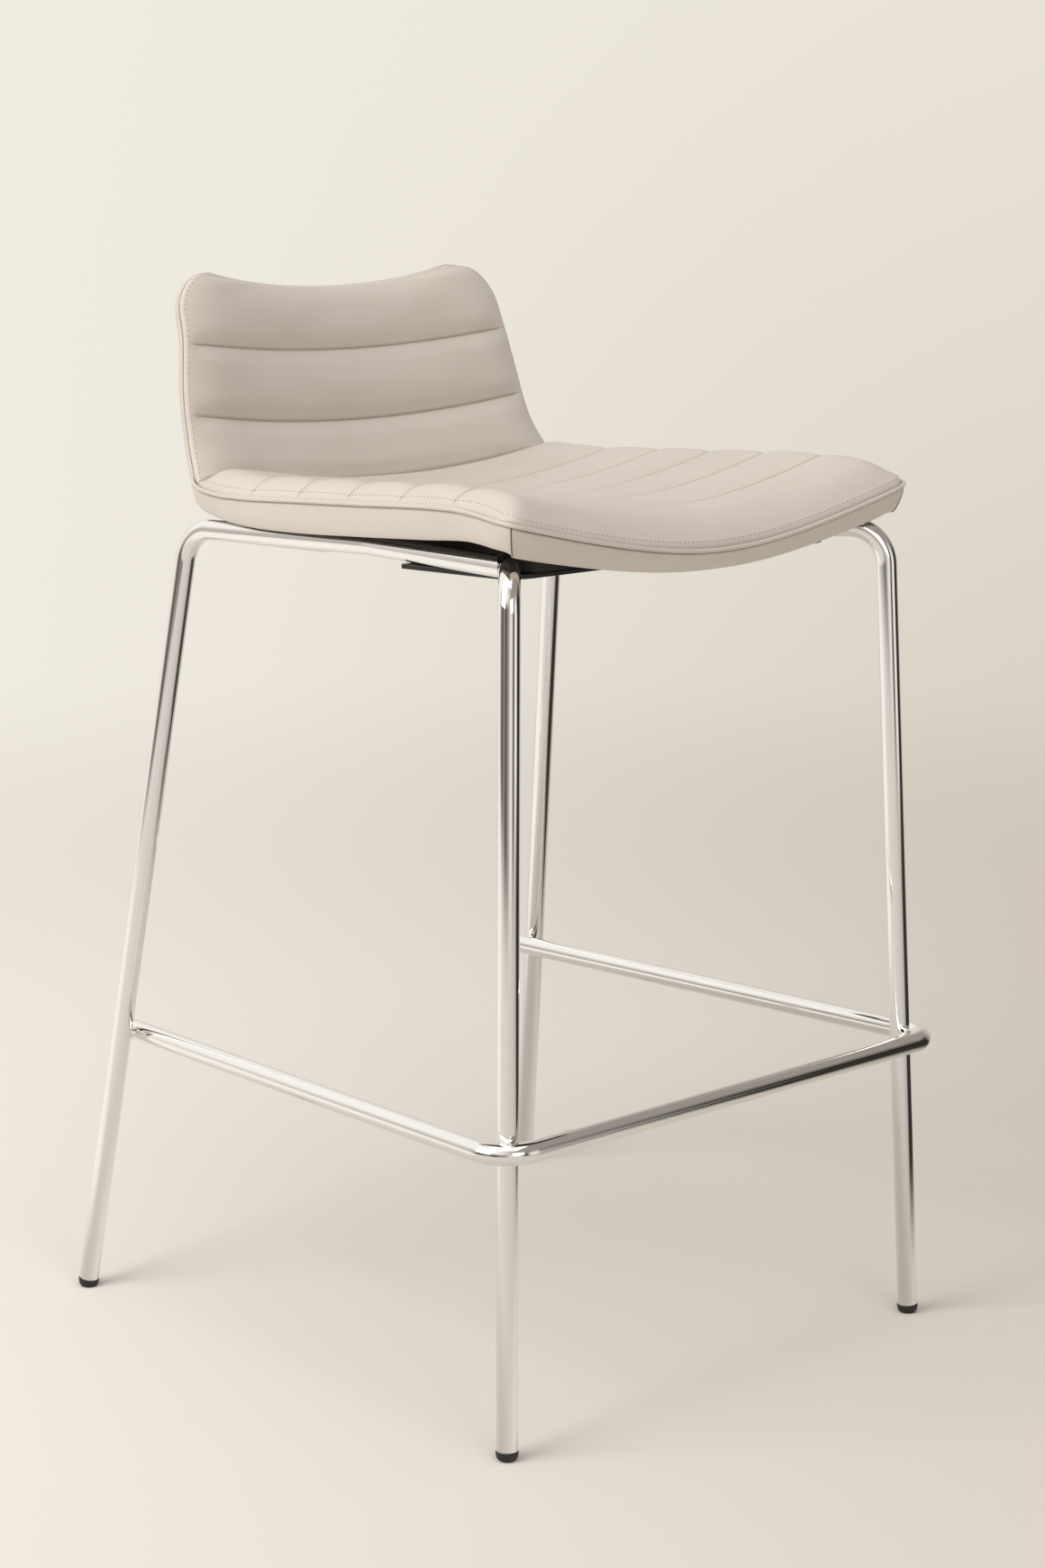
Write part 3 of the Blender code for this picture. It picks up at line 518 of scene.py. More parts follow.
STUB_DIRECTION = STUB_AIM - FRONT_TOP
STUB_DIRECTION = Vector((STUB_DIRECTION.x, STUB_DIRECTION.y, 0)).normalized()
STUB_SIDE = Vector((STUB_DIRECTION.y, -STUB_DIRECTION.x, 0))
RAIL_END = FRONT_TOP + STUB_DIRECTION * ((RAIL_END_X - FRONT_TOP.x) / STUB_DIRECTION.x)
tubes = {}
for label, side in HALVES:
    leg_points = [front_axis(GLIDE_HEIGHT), FRONT_TOP, FRONT_TOP + STUB_DIRECTION * STUB_LENGTH]
    leg = tube("front_" + label + "_leg_tube", [mirrored(p, side) for p in leg_points], [LEG_BEND])
    settle(leg, "chrome", "front_" + label + "_leg")
    tubes["front_" + label] = leg
    rail_points = [mirrored(p, side) for p in (rear_axis(GLIDE_HEIGHT), REAR_TOP, RAIL_KINK, RAIL_END)]
    rail = tube(label + "_rear_leg_and_rail", rail_points, [REAR_BEND, KINK_BEND])
    face = mirrored(STUB_SIDE, side)
    seat_point = mirrored(FRONT_TOP, side) + face * (TUBE_R + GAP)
    ahead = (rail_points[-1] - rail_points[-2]).normalized()
    slope = ahead.dot(face)

    def past_mitre(places):
        past = (places - np.array(seat_point)) @ np.array(face) / slope
        return past * (places[:, 1] < MITRE_ZONE_Y)

    slide_back(rail, ahead, past_mitre)
    settle(rail, "chrome", label + "_side_tube")
    tubes[label + "_side"] = rail


# Footrest: one tube bent round the outside of the front legs, its ends lapped inside the rear legs,
# closed with pressed discs and welded at all four legs. The weld beads are ground and chromed over.
FOOTREST_FRONT_Z = 0.261
FOOTREST_REAR_Z = 0.248
FOOTREST_BEND = 0.030
FOOTREST_OUTSIDE = 0.024
FOOTREST_LAP = 0.0085
CAP_THICK = 0.0015
WELD_GAP = 0.0046
WELD_REACH = 0.0078
WELD_TURNS = 56
WELD_LEVELS = (0.0, 0.12, 0.3, 0.5, 0.7, 0.88, 1.0)
WELD_LEAST = 0.002
WELD_STEP = 0.0002
WELD_LOOK = 0.02
WELD_HALF = 0.001
WELD_SUNK = 0.0006
WELD_NECK = 0.50
LAP_RIPPLE = ((0.05, 5, 0.7), (0.03, 11, 0.0))
CAP_SPIGOT = 0.008
CAP_INSIDE = 0.0004
PLUG_R = TUBE_R - TUBE_WALL - GAP

front_leg_here = front_axis(FOOTREST_FRONT_Z)
span = rear_axis(FOOTREST_REAR_Z) - front_leg_here
skew = math.atan2(FOOTREST_OUTSIDE + 2 * TUBE_R - span.x, span.y + FOOTREST_OUTSIDE)
touch = FOOTREST_BEND - 2 * TUBE_R - 2 * GAP
aside = FOOTREST_BEND * math.tan(math.pi / 4 + skew / 2) - FOOTREST_OUTSIDE
ahead_of_leg = FOOTREST_BEND - math.sqrt(touch ** 2 - aside ** 2)
FOOTREST_CORNER = front_leg_here + Vector((FOOTREST_OUTSIDE, -ahead_of_leg, 0))
rear_leg_here = rear_axis(FOOTREST_REAR_Z)
run = (rear_leg_here - Vector((2 * TUBE_R, 0, 0)) - FOOTREST_CORNER).normalized()
away = (rear_axis(1) - rear_axis(0)).cross(run).normalized()
FOOTREST_LAPPED = rear_leg_here - Vector(((2 * TUBE_R + GAP) / abs(away.x), 0, 0))
FOOTREST_RUN = (FOOTREST_LAPPED - FOOTREST_CORNER).normalized()
FOOTREST_END = FOOTREST_LAPPED + FOOTREST_RUN * FOOTREST_LAP


def piece_from_bmesh(name, bm, finish):
    """Keep a bmesh as a smooth piece at the origin."""
    bmesh.ops.recalc_face_normals(bm, faces=bm.faces)
    mesh = bpy.data.meshes.new(name)
    bm.to_mesh(mesh)
    bm.free()
    mesh.materials.append(finish)
    mesh.shade_smooth()
    mesh.set_sharp_from_angle(angle=SHARP_ANGLE)
    return linked(name, mesh)


def spokes(axis, count):
    """Angles round an axis, each with its direction out from the axis."""
    across = axis.orthogonal().normalized()
    other = axis.cross(across)
    angles = [2 * math.pi * k / count for k in range(count)]
    return [(a, across * math.cos(a) + other * math.sin(a)) for a in angles]


def skin(bm, rings):
    """Closed skin over rings of equally many points, its two ends filled."""
    loops = [[bm.verts.new(p) for p in ring] for ring in rings]
    for a, b in zip(loops, loops[1:]):
        n = len(a)
        for k in range(n):
            bm.faces.new((a[k], a[(k + 1) % n], b[(k + 1) % n], b[k]))
    bm.faces.new(loops[0])
    bm.faces.new(loops[-1])


def turned(bm, foot, up, profile, sides):
    """Turned solid from pairs of radius and height along an axis."""
    around = spokes(up, sides)
    skin(bm, [[foot + up * h + out * r for _, out in around] for r, h in profile])


def tree_of(piece):
    """Search tree over a piece's faces."""
    bm = bmesh.new()
    bm.from_mesh(piece.data)
    made = BVHTree.FromBMesh(bm)
    bm.free()
    return made


def rippled(a, waves):
    """About 1, waved round a circle by the depth, number and start of each kind of wave."""
    return 1 + sum(depth * math.sin(count * a + start) for depth, count, start in waves)


def lap_weld(bm, first, second, contact, facing):
    """Bead that fills the gap round the point where two tubes touch, hollowed between them."""
    rings = [[] for _ in WELD_LEVELS]
    for a, out in spokes(facing, WELD_TURNS):
        reach = WELD_REACH
        low = high = None
        while reach > WELD_LEAST:
            start = contact + out * reach
            low = first.ray_cast(start, -facing, WELD_LOOK)[0]
            high = second.ray_cast(start, facing, WELD_LOOK)[0]
            if low and high and (high - low).length < WELD_GAP:
                break
            reach -= WELD_STEP
        if not (low and high):
            low = contact + out * reach - facing * WELD_HALF
            high = contact + out * reach + facing * WELD_HALF
        low = low - facing * WELD_SUNK
        high = high + facing * WELD_SUNK
        neck = contact + out * (reach * WELD_NECK * rippled(a, LAP_RIPPLE))
        for level, ring in zip(WELD_LEVELS, rings):
            ring.append((1 - level) ** 2 * low + 2 * level * (1 - level) * neck + level ** 2 * high)
    skin(bm, rings)


footrest_points = [mirrored(FOOTREST_END, -1), mirrored(FOOTREST_CORNER, -1), FOOTREST_CORNER, FOOTREST_END]
footrest = tube("footrest_tube", footrest_points, [FOOTREST_BEND] * 2)
settle(footrest, "chrome", "footrest")

bm = bmesh.new()
cap_profile = (
    (PLUG_R, -CAP_SPIGOT), (PLUG_R, GAP), (TUBE_R - CAP_INSIDE, GAP),
    (TUBE_R - CAP_INSIDE, CAP_THICK * 0.5), (TUBE_R * 0.93, CAP_THICK * 0.82), (TUBE_R * 0.8, CAP_THICK),
)
for side in (-1, 1):
    turned(bm, mirrored(FOOTREST_END, side), mirrored(FOOTREST_RUN, side), cap_profile, TUBE_SIDES)
caps = piece_from_bmesh("footrest_end_discs", bm, CHROME)
settle(caps, "chrome", "footrest_left_end_cap", "footrest_right_end_cap")

bm = bmesh.new()
footrest_skin = tree_of(footrest)
bend_middle = FOOTREST_CORNER + Vector((-FOOTREST_BEND, FOOTREST_BEND, 0))
outward = Vector((front_leg_here.x - bend_middle.x, front_leg_here.y - bend_middle.y, 0)).normalized()
inner = away if away.x < 0 else -away
front_touch = front_leg_here + outward * (TUBE_R + GAP / 2)
rear_touch = rear_leg_here + inner * (TUBE_R + GAP / 2)
for label, side in HALVES:
    touches = (("front_" + label, front_touch, outward), (label + "_side", rear_touch, inner))
    for key, point, facing in touches:
        lap_weld(bm, tree_of(tubes[key]), footrest_skin, mirrored(point, side), mirrored(facing, side))
footrest_welds = piece_from_bmesh("footrest_welds", bm, CHROME)
settle(footrest_welds, "chrome")


# Rear cross rail and lugs: a dipped tube coped to the side rails and two welded tabs for the seat screws.
# None of it shows in the photograph, so its form is the common one for such frames.
CROSS_RAIL_Y = 0.100 + SHIFT_Y
CROSS_RAIL_DROP = 0.018
CROSS_RAIL_FLAT_HALF = 0.110
CROSS_RAIL_BEND = 0.080
COPE_ZONE_X = 0.15
CROSS_WELD = 0.0030
STUB_WELD = 0.0028
STUB_WELD_BACK = 1.5 * TUBE_R
COLLAR_RIPPLE = ((0.07, 7, 0.0), (0.04, 13, 1.0))
COLLAR_BACK = 0.03
COLLAR_LOOK = 0.08
COLLAR_HOLLOW = 0.30
COLLAR_INSIDE = 0.12


def rail_at(y):
    return REAR_TOP.lerp(RAIL_KINK, (y - REAR_TOP.y) / (RAIL_KINK.y - REAR_TOP.y))


def collar_weld(bm, branch_end, along, target, width):
    """Bead round a tube's end where it meets another tube's side."""
    rows = [[], [], [], []]
    for a, out in spokes(along, WELD_TURNS):
        bead = width * rippled(a, COLLAR_RIPPLE)
        on_side = target.find_nearest(branch_end + out * (TUBE_R + bead))[0]
        hit = target.ray_cast(branch_end + out * TUBE_R - along * COLLAR_BACK, along, COLLAR_LOOK)[0]
        foot = hit or on_side
        on_branch = foot - along * bead
        middle = foot + (on_branch - foot) * COLLAR_HOLLOW + (on_side - foot) * COLLAR_HOLLOW
        for row, point in zip(rows, (on_branch - out * WELD_SUNK, on_branch, middle, on_side)):
            row.append(point)
    inside = [point - (point - branch_end) * COLLAR_INSIDE for point in rows[3]]
    skin(bm, rows + [inside])


cross_end = rail_at(CROSS_RAIL_Y)
cross_dip = Vector((CROSS_RAIL_FLAT_HALF, CROSS_RAIL_Y, cross_end.z - CROSS_RAIL_DROP))
cross_points = [mirrored(cross_end, -1), mirrored(cross_dip, -1), cross_dip, cross_end]
cross_rail = tube("rear_cross_rail_tube", cross_points, [CROSS_RAIL_BEND] * 2)
rail_line = (RAIL_KINK - REAR_TOP).normalized()
for side in (-1, 1):
    ahead = (mirrored(cross_end, side) - mirrored(cross_dip, side)).normalized()
    axis = np.array(mirrored(rail_line, side))
    flat = np.array(ahead) - axis * np.dot(np.array(ahead), axis)

    def past_cope(places):
        offset = places - np.array(mirrored(cross_end, side))
        offset = offset - np.outer(offset @ axis, axis)
        a, b = flat @ flat, offset @ flat
        c = (offset ** 2).sum(1) - (TUBE_R + GAP) ** 2
        inside = (c < 0) & (places[:, 0] * side > COPE_ZONE_X)
        return np.where(inside, (b + np.sqrt(np.maximum(b * b - a * c, 0))) / a, 0.0)

    slide_back(cross_rail, ahead, past_cope)
settle(cross_rail, "chrome", "rear_cross_rail")

bm = bmesh.new()
for label, side in HALVES:
    welded_ends = (
        (cross_dip, cross_end, TUBE_R, label + "_side", CROSS_WELD),
        (RAIL_KINK, RAIL_END, STUB_WELD_BACK, "front_" + label, STUB_WELD),
    )
    for start, end, back, key, width in welded_ends:
        ahead = (mirrored(end, side) - mirrored(start, side)).normalized()
        collar_weld(bm, mirrored(end, side) - ahead * back, ahead, tree_of(tubes[key]), width)
rail_welds = piece_from_bmesh("rail_welds", bm, CHROME)
settle(rail_welds, "chrome")


def dress(names, finish):
    """Give CAD nodes that stay a finish of their own."""
    for name in names:
        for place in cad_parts[name].material_slots:
            place.material = finish


dress(("rear_left_lug", "rear_right_lug"), CHROME)


# Front mounting plate: 4 mm steel, cut flat with rounded front corners and painted satin black.
# The front legs' stubs lie on it, the rails pass just above it, and two seat screws go up through it.
PLATE_HALF = 0.2045
PLATE_FRONT_HALF = 0.190
PLATE_FRONT_Y = SHIFT_Y - PLATE_FRONT
PLATE_REAR_Y = -0.120 + SHIFT_Y
PLATE_THICK = 0.0042
PLATE_CORNER = 0.026
PLATE_TOP = RAIL_Z - TUBE_R - GAP
PLATE_EDGE = 0.0007
PLATE_ROUND = 0.3 * PLATE_EDGE
PLATE_CORNER_STEPS = 16
BLACK_PAINT = plain_finish(
    "satin_black_paint", cells=1400.0, clouds=30.0, dark=(0.010, 0.009, 0.009),
    light=(0.018, 0.016, 0.015), rough=(0.26, 0.42), bump=(0.12, 0.0002),
)


def plate_outline(inset):
    """The plate's outline drawn in by an inset: its rear corners, then the rounded front ones."""
    rows = [(-PLATE_HALF + inset, PLATE_REAR_Y - inset), (PLATE_HALF - inset, PLATE_REAR_Y - inset)]
    corner = PLATE_CORNER - inset
    for side in (1, -1):
        for k in range(PLATE_CORNER_STEPS + 1):
            a = math.pi / 2 * (k if side > 0 else PLATE_CORNER_STEPS - k) / PLATE_CORNER_STEPS
            x = side * (PLATE_FRONT_HALF - inset - corner * (1 - math.cos(a)))
            rows.append((x, PLATE_FRONT_Y + inset + corner * (1 - math.sin(a))))
    return rows


bm = bmesh.new()
plate_low = PLATE_TOP - PLATE_THICK
plate_levels = (
    (PLATE_EDGE, plate_low), (PLATE_ROUND, plate_low + PLATE_ROUND), (0.0, plate_low + PLATE_EDGE),
    (0.0, PLATE_TOP - PLATE_EDGE), (PLATE_ROUND, PLATE_TOP - PLATE_ROUND), (PLATE_EDGE, PLATE_TOP),
)
skin(bm, [[Vector((x, y, z)) for x, y in plate_outline(inset)] for inset, z in plate_levels])
plate = piece_from_bmesh("mounting_plate", bm, BLACK_PAINT)
settle(plate, "black_paint", "front_mounting_plate")


# Glides: black moulded feet, plugged into the four leg ends and flat where they stand.
# One turned foot is repeated on the four leg axes.
GLIDE_R = 0.0095
GLIDE_FLAT_R = 0.006
GLIDE_SIDES = 40
GLIDE_STEM = 0.018
GLIDE_SPARE = 0.003
# Share of the glide's radius and height, from its foot to under its collar.
GLIDE_SWELL = (
    (0.76, 0.0006), (0.86, 0.0016), (0.94, 0.0032), (0.985, 0.0052), (1.0, 0.0068), (0.985, 0.0078),
    (0.95, GLIDE_HEIGHT - GAP),
)
BLACK_PLASTIC = plain_finish(
    "black_moulded_plastic", cells=1800.0, clouds=60.0, dark=(0.011, 0.011, 0.011),
    light=(0.022, 0.021, 0.020), rough=(0.38, 0.56), bump=(0.15, 0.0002),
)


def keep_ups(mesh, ups):
    """Keep a direction for each point as the vector attribute 'up'."""
    kept = mesh.attributes.new("up", "FLOAT_VECTOR", "POINT")
    kept.data.foreach_set("vector", np.asarray(ups, np.float32).ravel())


def kept_up(tree):
    kept = node(tree, "GeometryNodeInputNamedAttribute", {"Name": "up"}, data_type="FLOAT_VECTOR")
    return kept.outputs[0]


def copies_on(tree, points, shape, turn):
    inputs = {"Points": points, "Instance": shape, "Rotation": turn}
    return node(tree, "GeometryNodeInstanceOnPoints", inputs).outputs[0]


def set_tree():
    """Repeat one object on every point of a mesh, its Z along the point's 'up'."""
    tree, given = new_tree("repeated_set", (("Shape", "Object"), ("Finish", "Material")))
    shape = node(tree, "GeometryNodeObjectInfo", {"Object": given["Shape"]})
    turn = node(tree, "FunctionNodeAlignRotationToVector", {"Vector": kept_up(tree)}, axis="Z")
    copies = copies_on(tree, given["Geometry"], shape.outputs["Geometry"], turn.outputs[0])
    close_tree(tree, copies, given["Finish"])
    return tree


SET_TREE = set_tree()


def repeated(name, shape, places, ups, finish):
    """One piece from copies of a shape, which is used up."""
    mesh = bpy.data.meshes.new(name)
    mesh.from_pydata([tuple(p) for p in places], [], [])
    keep_ups(mesh, ups)
    made = piece_from_tree(name, mesh, SET_TREE, {"Shape": shape, "Finish": finish})
    bpy.data.objects.remove(shape, do_unlink=True)
    made.data.set_sharp_from_angle(angle=SHARP_ANGLE)
    return made


bm = bmesh.new()
glide_profile = (
    (GLIDE_FLAT_R, -GLIDE_SPARE), (GLIDE_FLAT_R, 0.0), *[(GLIDE_R * share, z) for share, z in GLIDE_SWELL],
    (PLUG_R, GLIDE_HEIGHT - GAP), (PLUG_R, GLIDE_HEIGHT + GLIDE_STEM),
)
turned(bm, Vector(), Vector((0, 0, 1)), glide_profile, GLIDE_SIDES)
glide_shape = piece_from_bmesh("glide_shape", bm, BLACK_PLASTIC)
feet = []
leans = []
for axis_at in (front_axis, rear_axis):
    for side in (-1, 1):
        feet.append(mirrored(axis_at(0), side))
        leans.append((mirrored(axis_at(1), side) - feet[-1]).normalized())
glides = repeated("leg_glides", glide_shape, feet, leans, BLACK_PLASTIC)
for vertex in glides.data.vertices:
    vertex.co.z = max(vertex.co.z, 0.0)
glide_names = ["front_left_glide", "front_right_glide", "rear_left_glide", "rear_right_glide"]
settle(glides, "black_plastic", *glide_names)


# Spacers and seat screws: rubber rings between the frame and the shell, and zinc-plated pan-head screws.
# The screws go up through the plate and the lugs into the shell. Each head has a cross recess.
SCREW_HEAD_R = 0.00575
SCREW_HEAD_H = 0.0034
SCREW_R = 0.003
RECESS_LONG = 0.0026
RECESS_WIDE = 0.0006
RECESS_DEEP = 0.0016
SCREW_SIDES = 32
SCREW_SHANK = 0.009
# Shares of the head's radius and height, from the top of its dome to its rim.
SCREW_DOME = ((0.55, 1.0), (0.76, 0.90), (0.91, 0.66), (1.0, 0.28))
SCREW_RIM = 0.0002
ZINC = plain_finish(
    "zinc_plated_steel", cells=900.0, clouds=120.0, dark=(0.46, 0.46, 0.44), light=(0.62, 0.62, 0.60),
    rough=(0.22, 0.40), metallic=1.0,
)
RUBBER = plain_finish(
    "black_rubber", cells=1200.0, clouds=50.0, dark=(0.014, 0.014, 0.014), light=(0.030, 0.029, 0.028),
    rough=(0.70, 0.90),
)

screw_names = ["front_left", "front_right", "rear_left", "rear_right"]
bm = bmesh.new()
head_profile = (
    *[(SCREW_HEAD_R * share, -SCREW_HEAD_H * rise) for share, rise in SCREW_DOME],
    (SCREW_HEAD_R, -SCREW_RIM), (SCREW_HEAD_R * 0.95, 0.0), (SCREW_R, 0.0), (SCREW_R, SCREW_SHANK),
)
turned(bm, Vector(), Vector((0, 0, 1)), head_profile, SCREW_SIDES)
screw_shape = piece_from_bmesh("screw_shape", bm, ZINC)
bm = bmesh.new()
for long_side, wide_side in ((RECESS_LONG, RECESS_WIDE), (RECESS_WIDE, RECESS_LONG)):
    block = bmesh.ops.create_cube(bm, size=2.0)["verts"]
    for vertex in block:
        vertex.co.x *= long_side
        vertex.co.y *= wide_side
        vertex.co.z = -SCREW_HEAD_H + vertex.co.z * RECESS_DEEP
recess = piece_from_bmesh("screw_recess", bm, ZINC)
cut = screw_shape.modifiers.new("recess", "BOOLEAN")
cut.object = recess
cut.use_self = True
screw_shape.data = evaluated_mesh(screw_shape)
bpy.data.objects.remove(recess, do_unlink=True)
seats = []
for name in screw_names:
    low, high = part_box(name + "_screw")
    seats.append(Vector(((low.x + high.x) / 2, (low.y + high.y) / 2, low.z + SCREW_HEAD_H)))
screws = repeated("seat_screws", screw_shape, seats, [(0, 0, 1)] * 4, ZINC)
settle(screws, "zinc_steel", *[name + "_screw" for name in screw_names])
dress([name + "_spacer" for name in screw_names], RUBBER)


# Moulded shell: the dark core of seat and back, one dished sheet about 10 mm thick.
# Its underside shows between the skirt and the rails. Every cover follows the same sheet.
FRONT_DISH = 0.5
SEAT_DISH = 2.0
DISH_STATIONS = 3
# Stations run from the seat's front edge to the top of the back: centre y, centre rise over the rails,
# half width as a share of the seat's, side y and side rise.
STATIONS = np.array((
    (-0.2870, 0.0006, 1.046, -0.2862, 0.0400),
    (-0.2690, 0.0020, 1.022, -0.2685, 0.0396),
    (-0.2275, 0.0050, 1.006, -0.2300, 0.0444),
    (-0.1700, 0.0054, 1.001, -0.1750, 0.0437),
    (-0.0900, 0.0035, 1.000, -0.0950, 0.0388),
    (0.0000, 0.0008, 0.996, -0.0050, 0.0340),
    (0.0750, -0.0005, 0.985, 0.0700, 0.0296),
    (0.1250, 0.0022, 0.965, 0.1180, 0.0292),
    (0.1660, 0.0155, 0.943, 0.1500, 0.0335),
    (0.1838, 0.0410, 0.920, 0.1638, 0.0475),
    (0.1957, 0.0699, 0.897, 0.1772, 0.0726),
    (0.2053, 0.1068, 0.877, 0.1888, 0.1113),
    (0.2161, 0.1487, 0.842, 0.1986, 0.1568),
    (0.2288, 0.1800, 0.818, 0.2105, 0.1890),
    (0.2346, 0.1888, 0.733, 0.2180, 0.2096),
    (0.2390, 0.1967, 0.583, 0.2235, 0.2136),
))
LAST = len(STATIONS) - 1
CREASE_V = 8.0
BACK_SEAM_RISE = 4.5
BACK_SEAM_FADE = 3.5
CORE_THICK = 0.010
CORE_INSET = 0.010
CORE_FRONT_INSET = 0.014
CORE_TOP_INSET = 0.011
CORE_CORNER = 0.030
CORE_EDGE = 0.003
PAD_EDGE = 0.0012
PAD_EDGE_INSET = 0.0026
PAD_TOP_INSET = 0.0044
BACK_COVER_V = 8.20
BACK_COVER_THICK = 0.003
RIM_ROLL = 0.020
COVER_LEATHER = 0.0014
CORE_STEP = 0.006
CORE_COLUMN_STEP = 0.028
CORE_COLUMN_ENDS = (0.002, 0.006, 0.013)
CORE_TOP_ROUND = 0.6
CLOSE = (0.0004, 0.0012, 0.0025, 0.0045)
LEAST_STEP = 0.00012
ARC_POINTS = 1201
ARC_U = 0.5
SHELL = plain_finish(
    "dark_moulded_shell", cells=700.0, clouds=18.0, dark=(0.020, 0.015, 0.012),
    light=(0.040, 0.031, 0.026), rough=(0.48, 0.68), bump=(0.25, 0.0003),
)


def spline(values, t):
    """Smooth curve through values, read at fractional indices t."""
    t = np.asarray(t, float)
    i = np.clip(np.floor(t).astype(int), 0, len(values) - 2)
    f = t - i
    b, c = values[i], values[i + 1]
    a = np.where(i > 0, values[np.maximum(i - 1, 0)], 2 * b - c)
    d = np.where(i + 2 < len(values), values[np.minimum(i + 2, len(values) - 1)], 2 * c - b)
    return b + 0.5 * f * (c - a + f * (2 * a - 5 * b + 4 * c - d + f * (3 * (b - c) + d - a)))


def half_width(v):
    return SEAT_HALF * spline(STATIONS[:, 2], v)


def dish(u, v):
    """How far up the dish a place lies: 0 in the middle, 1 at the sides."""
    s = FRONT_DISH + (SEAT_DISH - FRONT_DISH) * np.clip(np.asarray(v) / DISH_STATIONS, 0, 1)
    return (np.hypot(u, s) - s) / (np.hypot(1, s) - s)


def sheet(u, v):
    """Points of the moulded sheet: u runs across from -1 to 1, v along the stations."""
    g = dish(u, v)
    y = spline(STATIONS[:, 0], v) * (1 - g) + spline(STATIONS[:, 3], v) * g
    rise = spline(STATIONS[:, 1], v) * (1 - g) + spline(STATIONS[:, 4], v) * g
    return np.stack(np.broadcast_arrays(u * half_width(v), y + SHIFT_Y, RAIL_Z + rise), -1)


def unit(vectors):
    return vectors / np.maximum(np.linalg.norm(vectors, axis=-1, keepdims=True), 1e-12)


def sheet_normal(u, v):
    """The sheet's unit normals, towards the sitter."""
    e = 0.004
    across = sheet(u + e, v) - sheet(u - e, v)
    along = sheet(u, np.minimum(v + e, LAST)) - sheet(u, np.maximum(v - e, 0))
    return unit(np.cross(across, along))


def lifted(u, v, height):
    return sheet(u, v) + sheet_normal(u, v) * np.asarray(height)[..., None]


ARC_V = np.linspace(0, LAST, ARC_POINTS)
ARC_LINE = sheet(np.full(ARC_V.shape, ARC_U), ARC_V)
ARC_S = np.concatenate(([0.0], np.cumsum(np.linalg.norm(np.diff(ARC_LINE, axis=0), axis=1))))
ARC_END = ARC_S[-1]


def arc_at(v):
    return np.interp(v, ARC_V, ARC_S)


def v_at_arc(s):
    return np.interp(s, ARC_S, ARC_V)


def bowed(u, v):
    """Station of a row at u: the back's rows rise a little towards the sides, as its seams do."""
    t = np.clip((v - CREASE_V) / (LAST - CREASE_V), 0, 1)
    return v + BACK_SEAM_RISE * t * (1 - t) ** BACK_SEAM_FADE * dish(u, v)


def places_at(s, w, inset):
    """(u, v, distance from the side edge) at arc lengths and shares of the width."""
    v = v_at_arc(s)
    half = half_width(bowed(1.0, v))
    edge = 1 - (inset(s) if callable(inset) else inset) / half
    u = w * edge
    return u, bowed(u, v), (1 - np.abs(w)) * edge * half


def grid_places(arcs, shares, inset):
    """(u, v, distance from the side edge, arc length) on a grid of arc lengths and shares."""
    s, w = np.meshgrid(np.asarray(arcs), np.asarray(shares), indexing="ij")
    return *places_at(s, w, inset), s


def grid_faces(rows, columns):
    """The points' numbers on a grid, and the faces between them."""
    index = np.arange(rows * columns).reshape(rows, columns)
    corners = (index[:-1, :-1], index[:-1, 1:], index[1:, 1:], index[1:, :-1])
    return index, np.stack(corners, -1).reshape(-1, 4)


def closed_slab(name, tops, lows, finish):
    """Closed piece between two grids of points; the upper side faces the sitter."""
    index, upper = grid_faces(*tops.shape[:2])
    lower = upper[:, ::-1] + index.size
    rim = np.concatenate((index[0, :], index[1:, -1], index[-1, -2::-1], index[-2:0:-1, 0]))
    after = np.roll(rim, -1)
    sides = np.stack((after, rim, rim + index.size, after + index.size), -1)
    faces = np.concatenate((upper, lower, sides))
    places = np.concatenate((tops.reshape(-1, 3), lows.reshape(-1, 3)))
    mesh = bpy.data.meshes.new(name)
    mesh.from_pydata(places.tolist(), [], faces.tolist())
    mesh.materials.append(finish)
    mesh.shade_smooth()
    return linked(name, mesh)


def roll(distance, radius):
    """Share of a pad's height at a distance from its sewn edge: a quarter round."""
    t = 1 - np.clip(np.asarray(distance) / radius, 0, 1)
    return np.sqrt(np.maximum(1 - t * t, 0))


def rear_depth(to_rim):
    """How far the back cover's outer face lies behind the sheet: it thins towards the sewn rim."""
    full = CORE_THICK + GAP + BACK_COVER_THICK
    return GAP + PAD_EDGE + (full - PAD_EDGE) * roll(to_rim, RIM_ROLL)


def core_inset(s):
    t = np.clip(1 - (s - CORE_FRONT_INSET) / CORE_CORNER, 0, 1)
    return CORE_INSET + CORE_CORNER * (1 - np.sqrt(1 - t * t))


def thinned(places, least):
    """Places in order, without those that follow the one before by less than the least step."""
    places = np.unique(np.round(places, 6))
    return places[np.concatenate(([True], np.diff(places) > least))]


def spaced(start, end, step, ends):
    """Even places from start to end, with the given close ones added at both ends."""
    even = np.linspace(start, end, max(int((end - start) / step), 2) + 1)
    close = np.asarray(ends)
    return thinned(np.concatenate((even, start + close, end - close)), LEAST_STEP)


core_arcs = spaced(CORE_FRONT_INSET, ARC_END - CORE_TOP_INSET, CORE_STEP, CLOSE)
core_shares = spaced(-1.0, 1.0, CORE_COLUMN_STEP, CORE_COLUMN_ENDS)
u, v, distance, s = grid_places(core_arcs, core_shares, core_inset)
to_edge = np.minimum(distance, np.minimum(s - core_arcs[0], core_arcs[-1] - s))
round_off = CORE_EDGE * (1 - roll(to_edge, CORE_EDGE))
to_top = core_arcs[-1] - s + CORE_TOP_INSET - PAD_TOP_INSET
to_rim = np.minimum(distance + CORE_INSET - PAD_EDGE_INSET, to_top)
under = -CORE_THICK - GAP + round_off
under = np.where(s > arc_at(BACK_COVER_V), np.maximum(under, COVER_LEATHER - rear_depth(to_rim)), under)
upper_face = lifted(u, v, -GAP - round_off * CORE_TOP_ROUND)
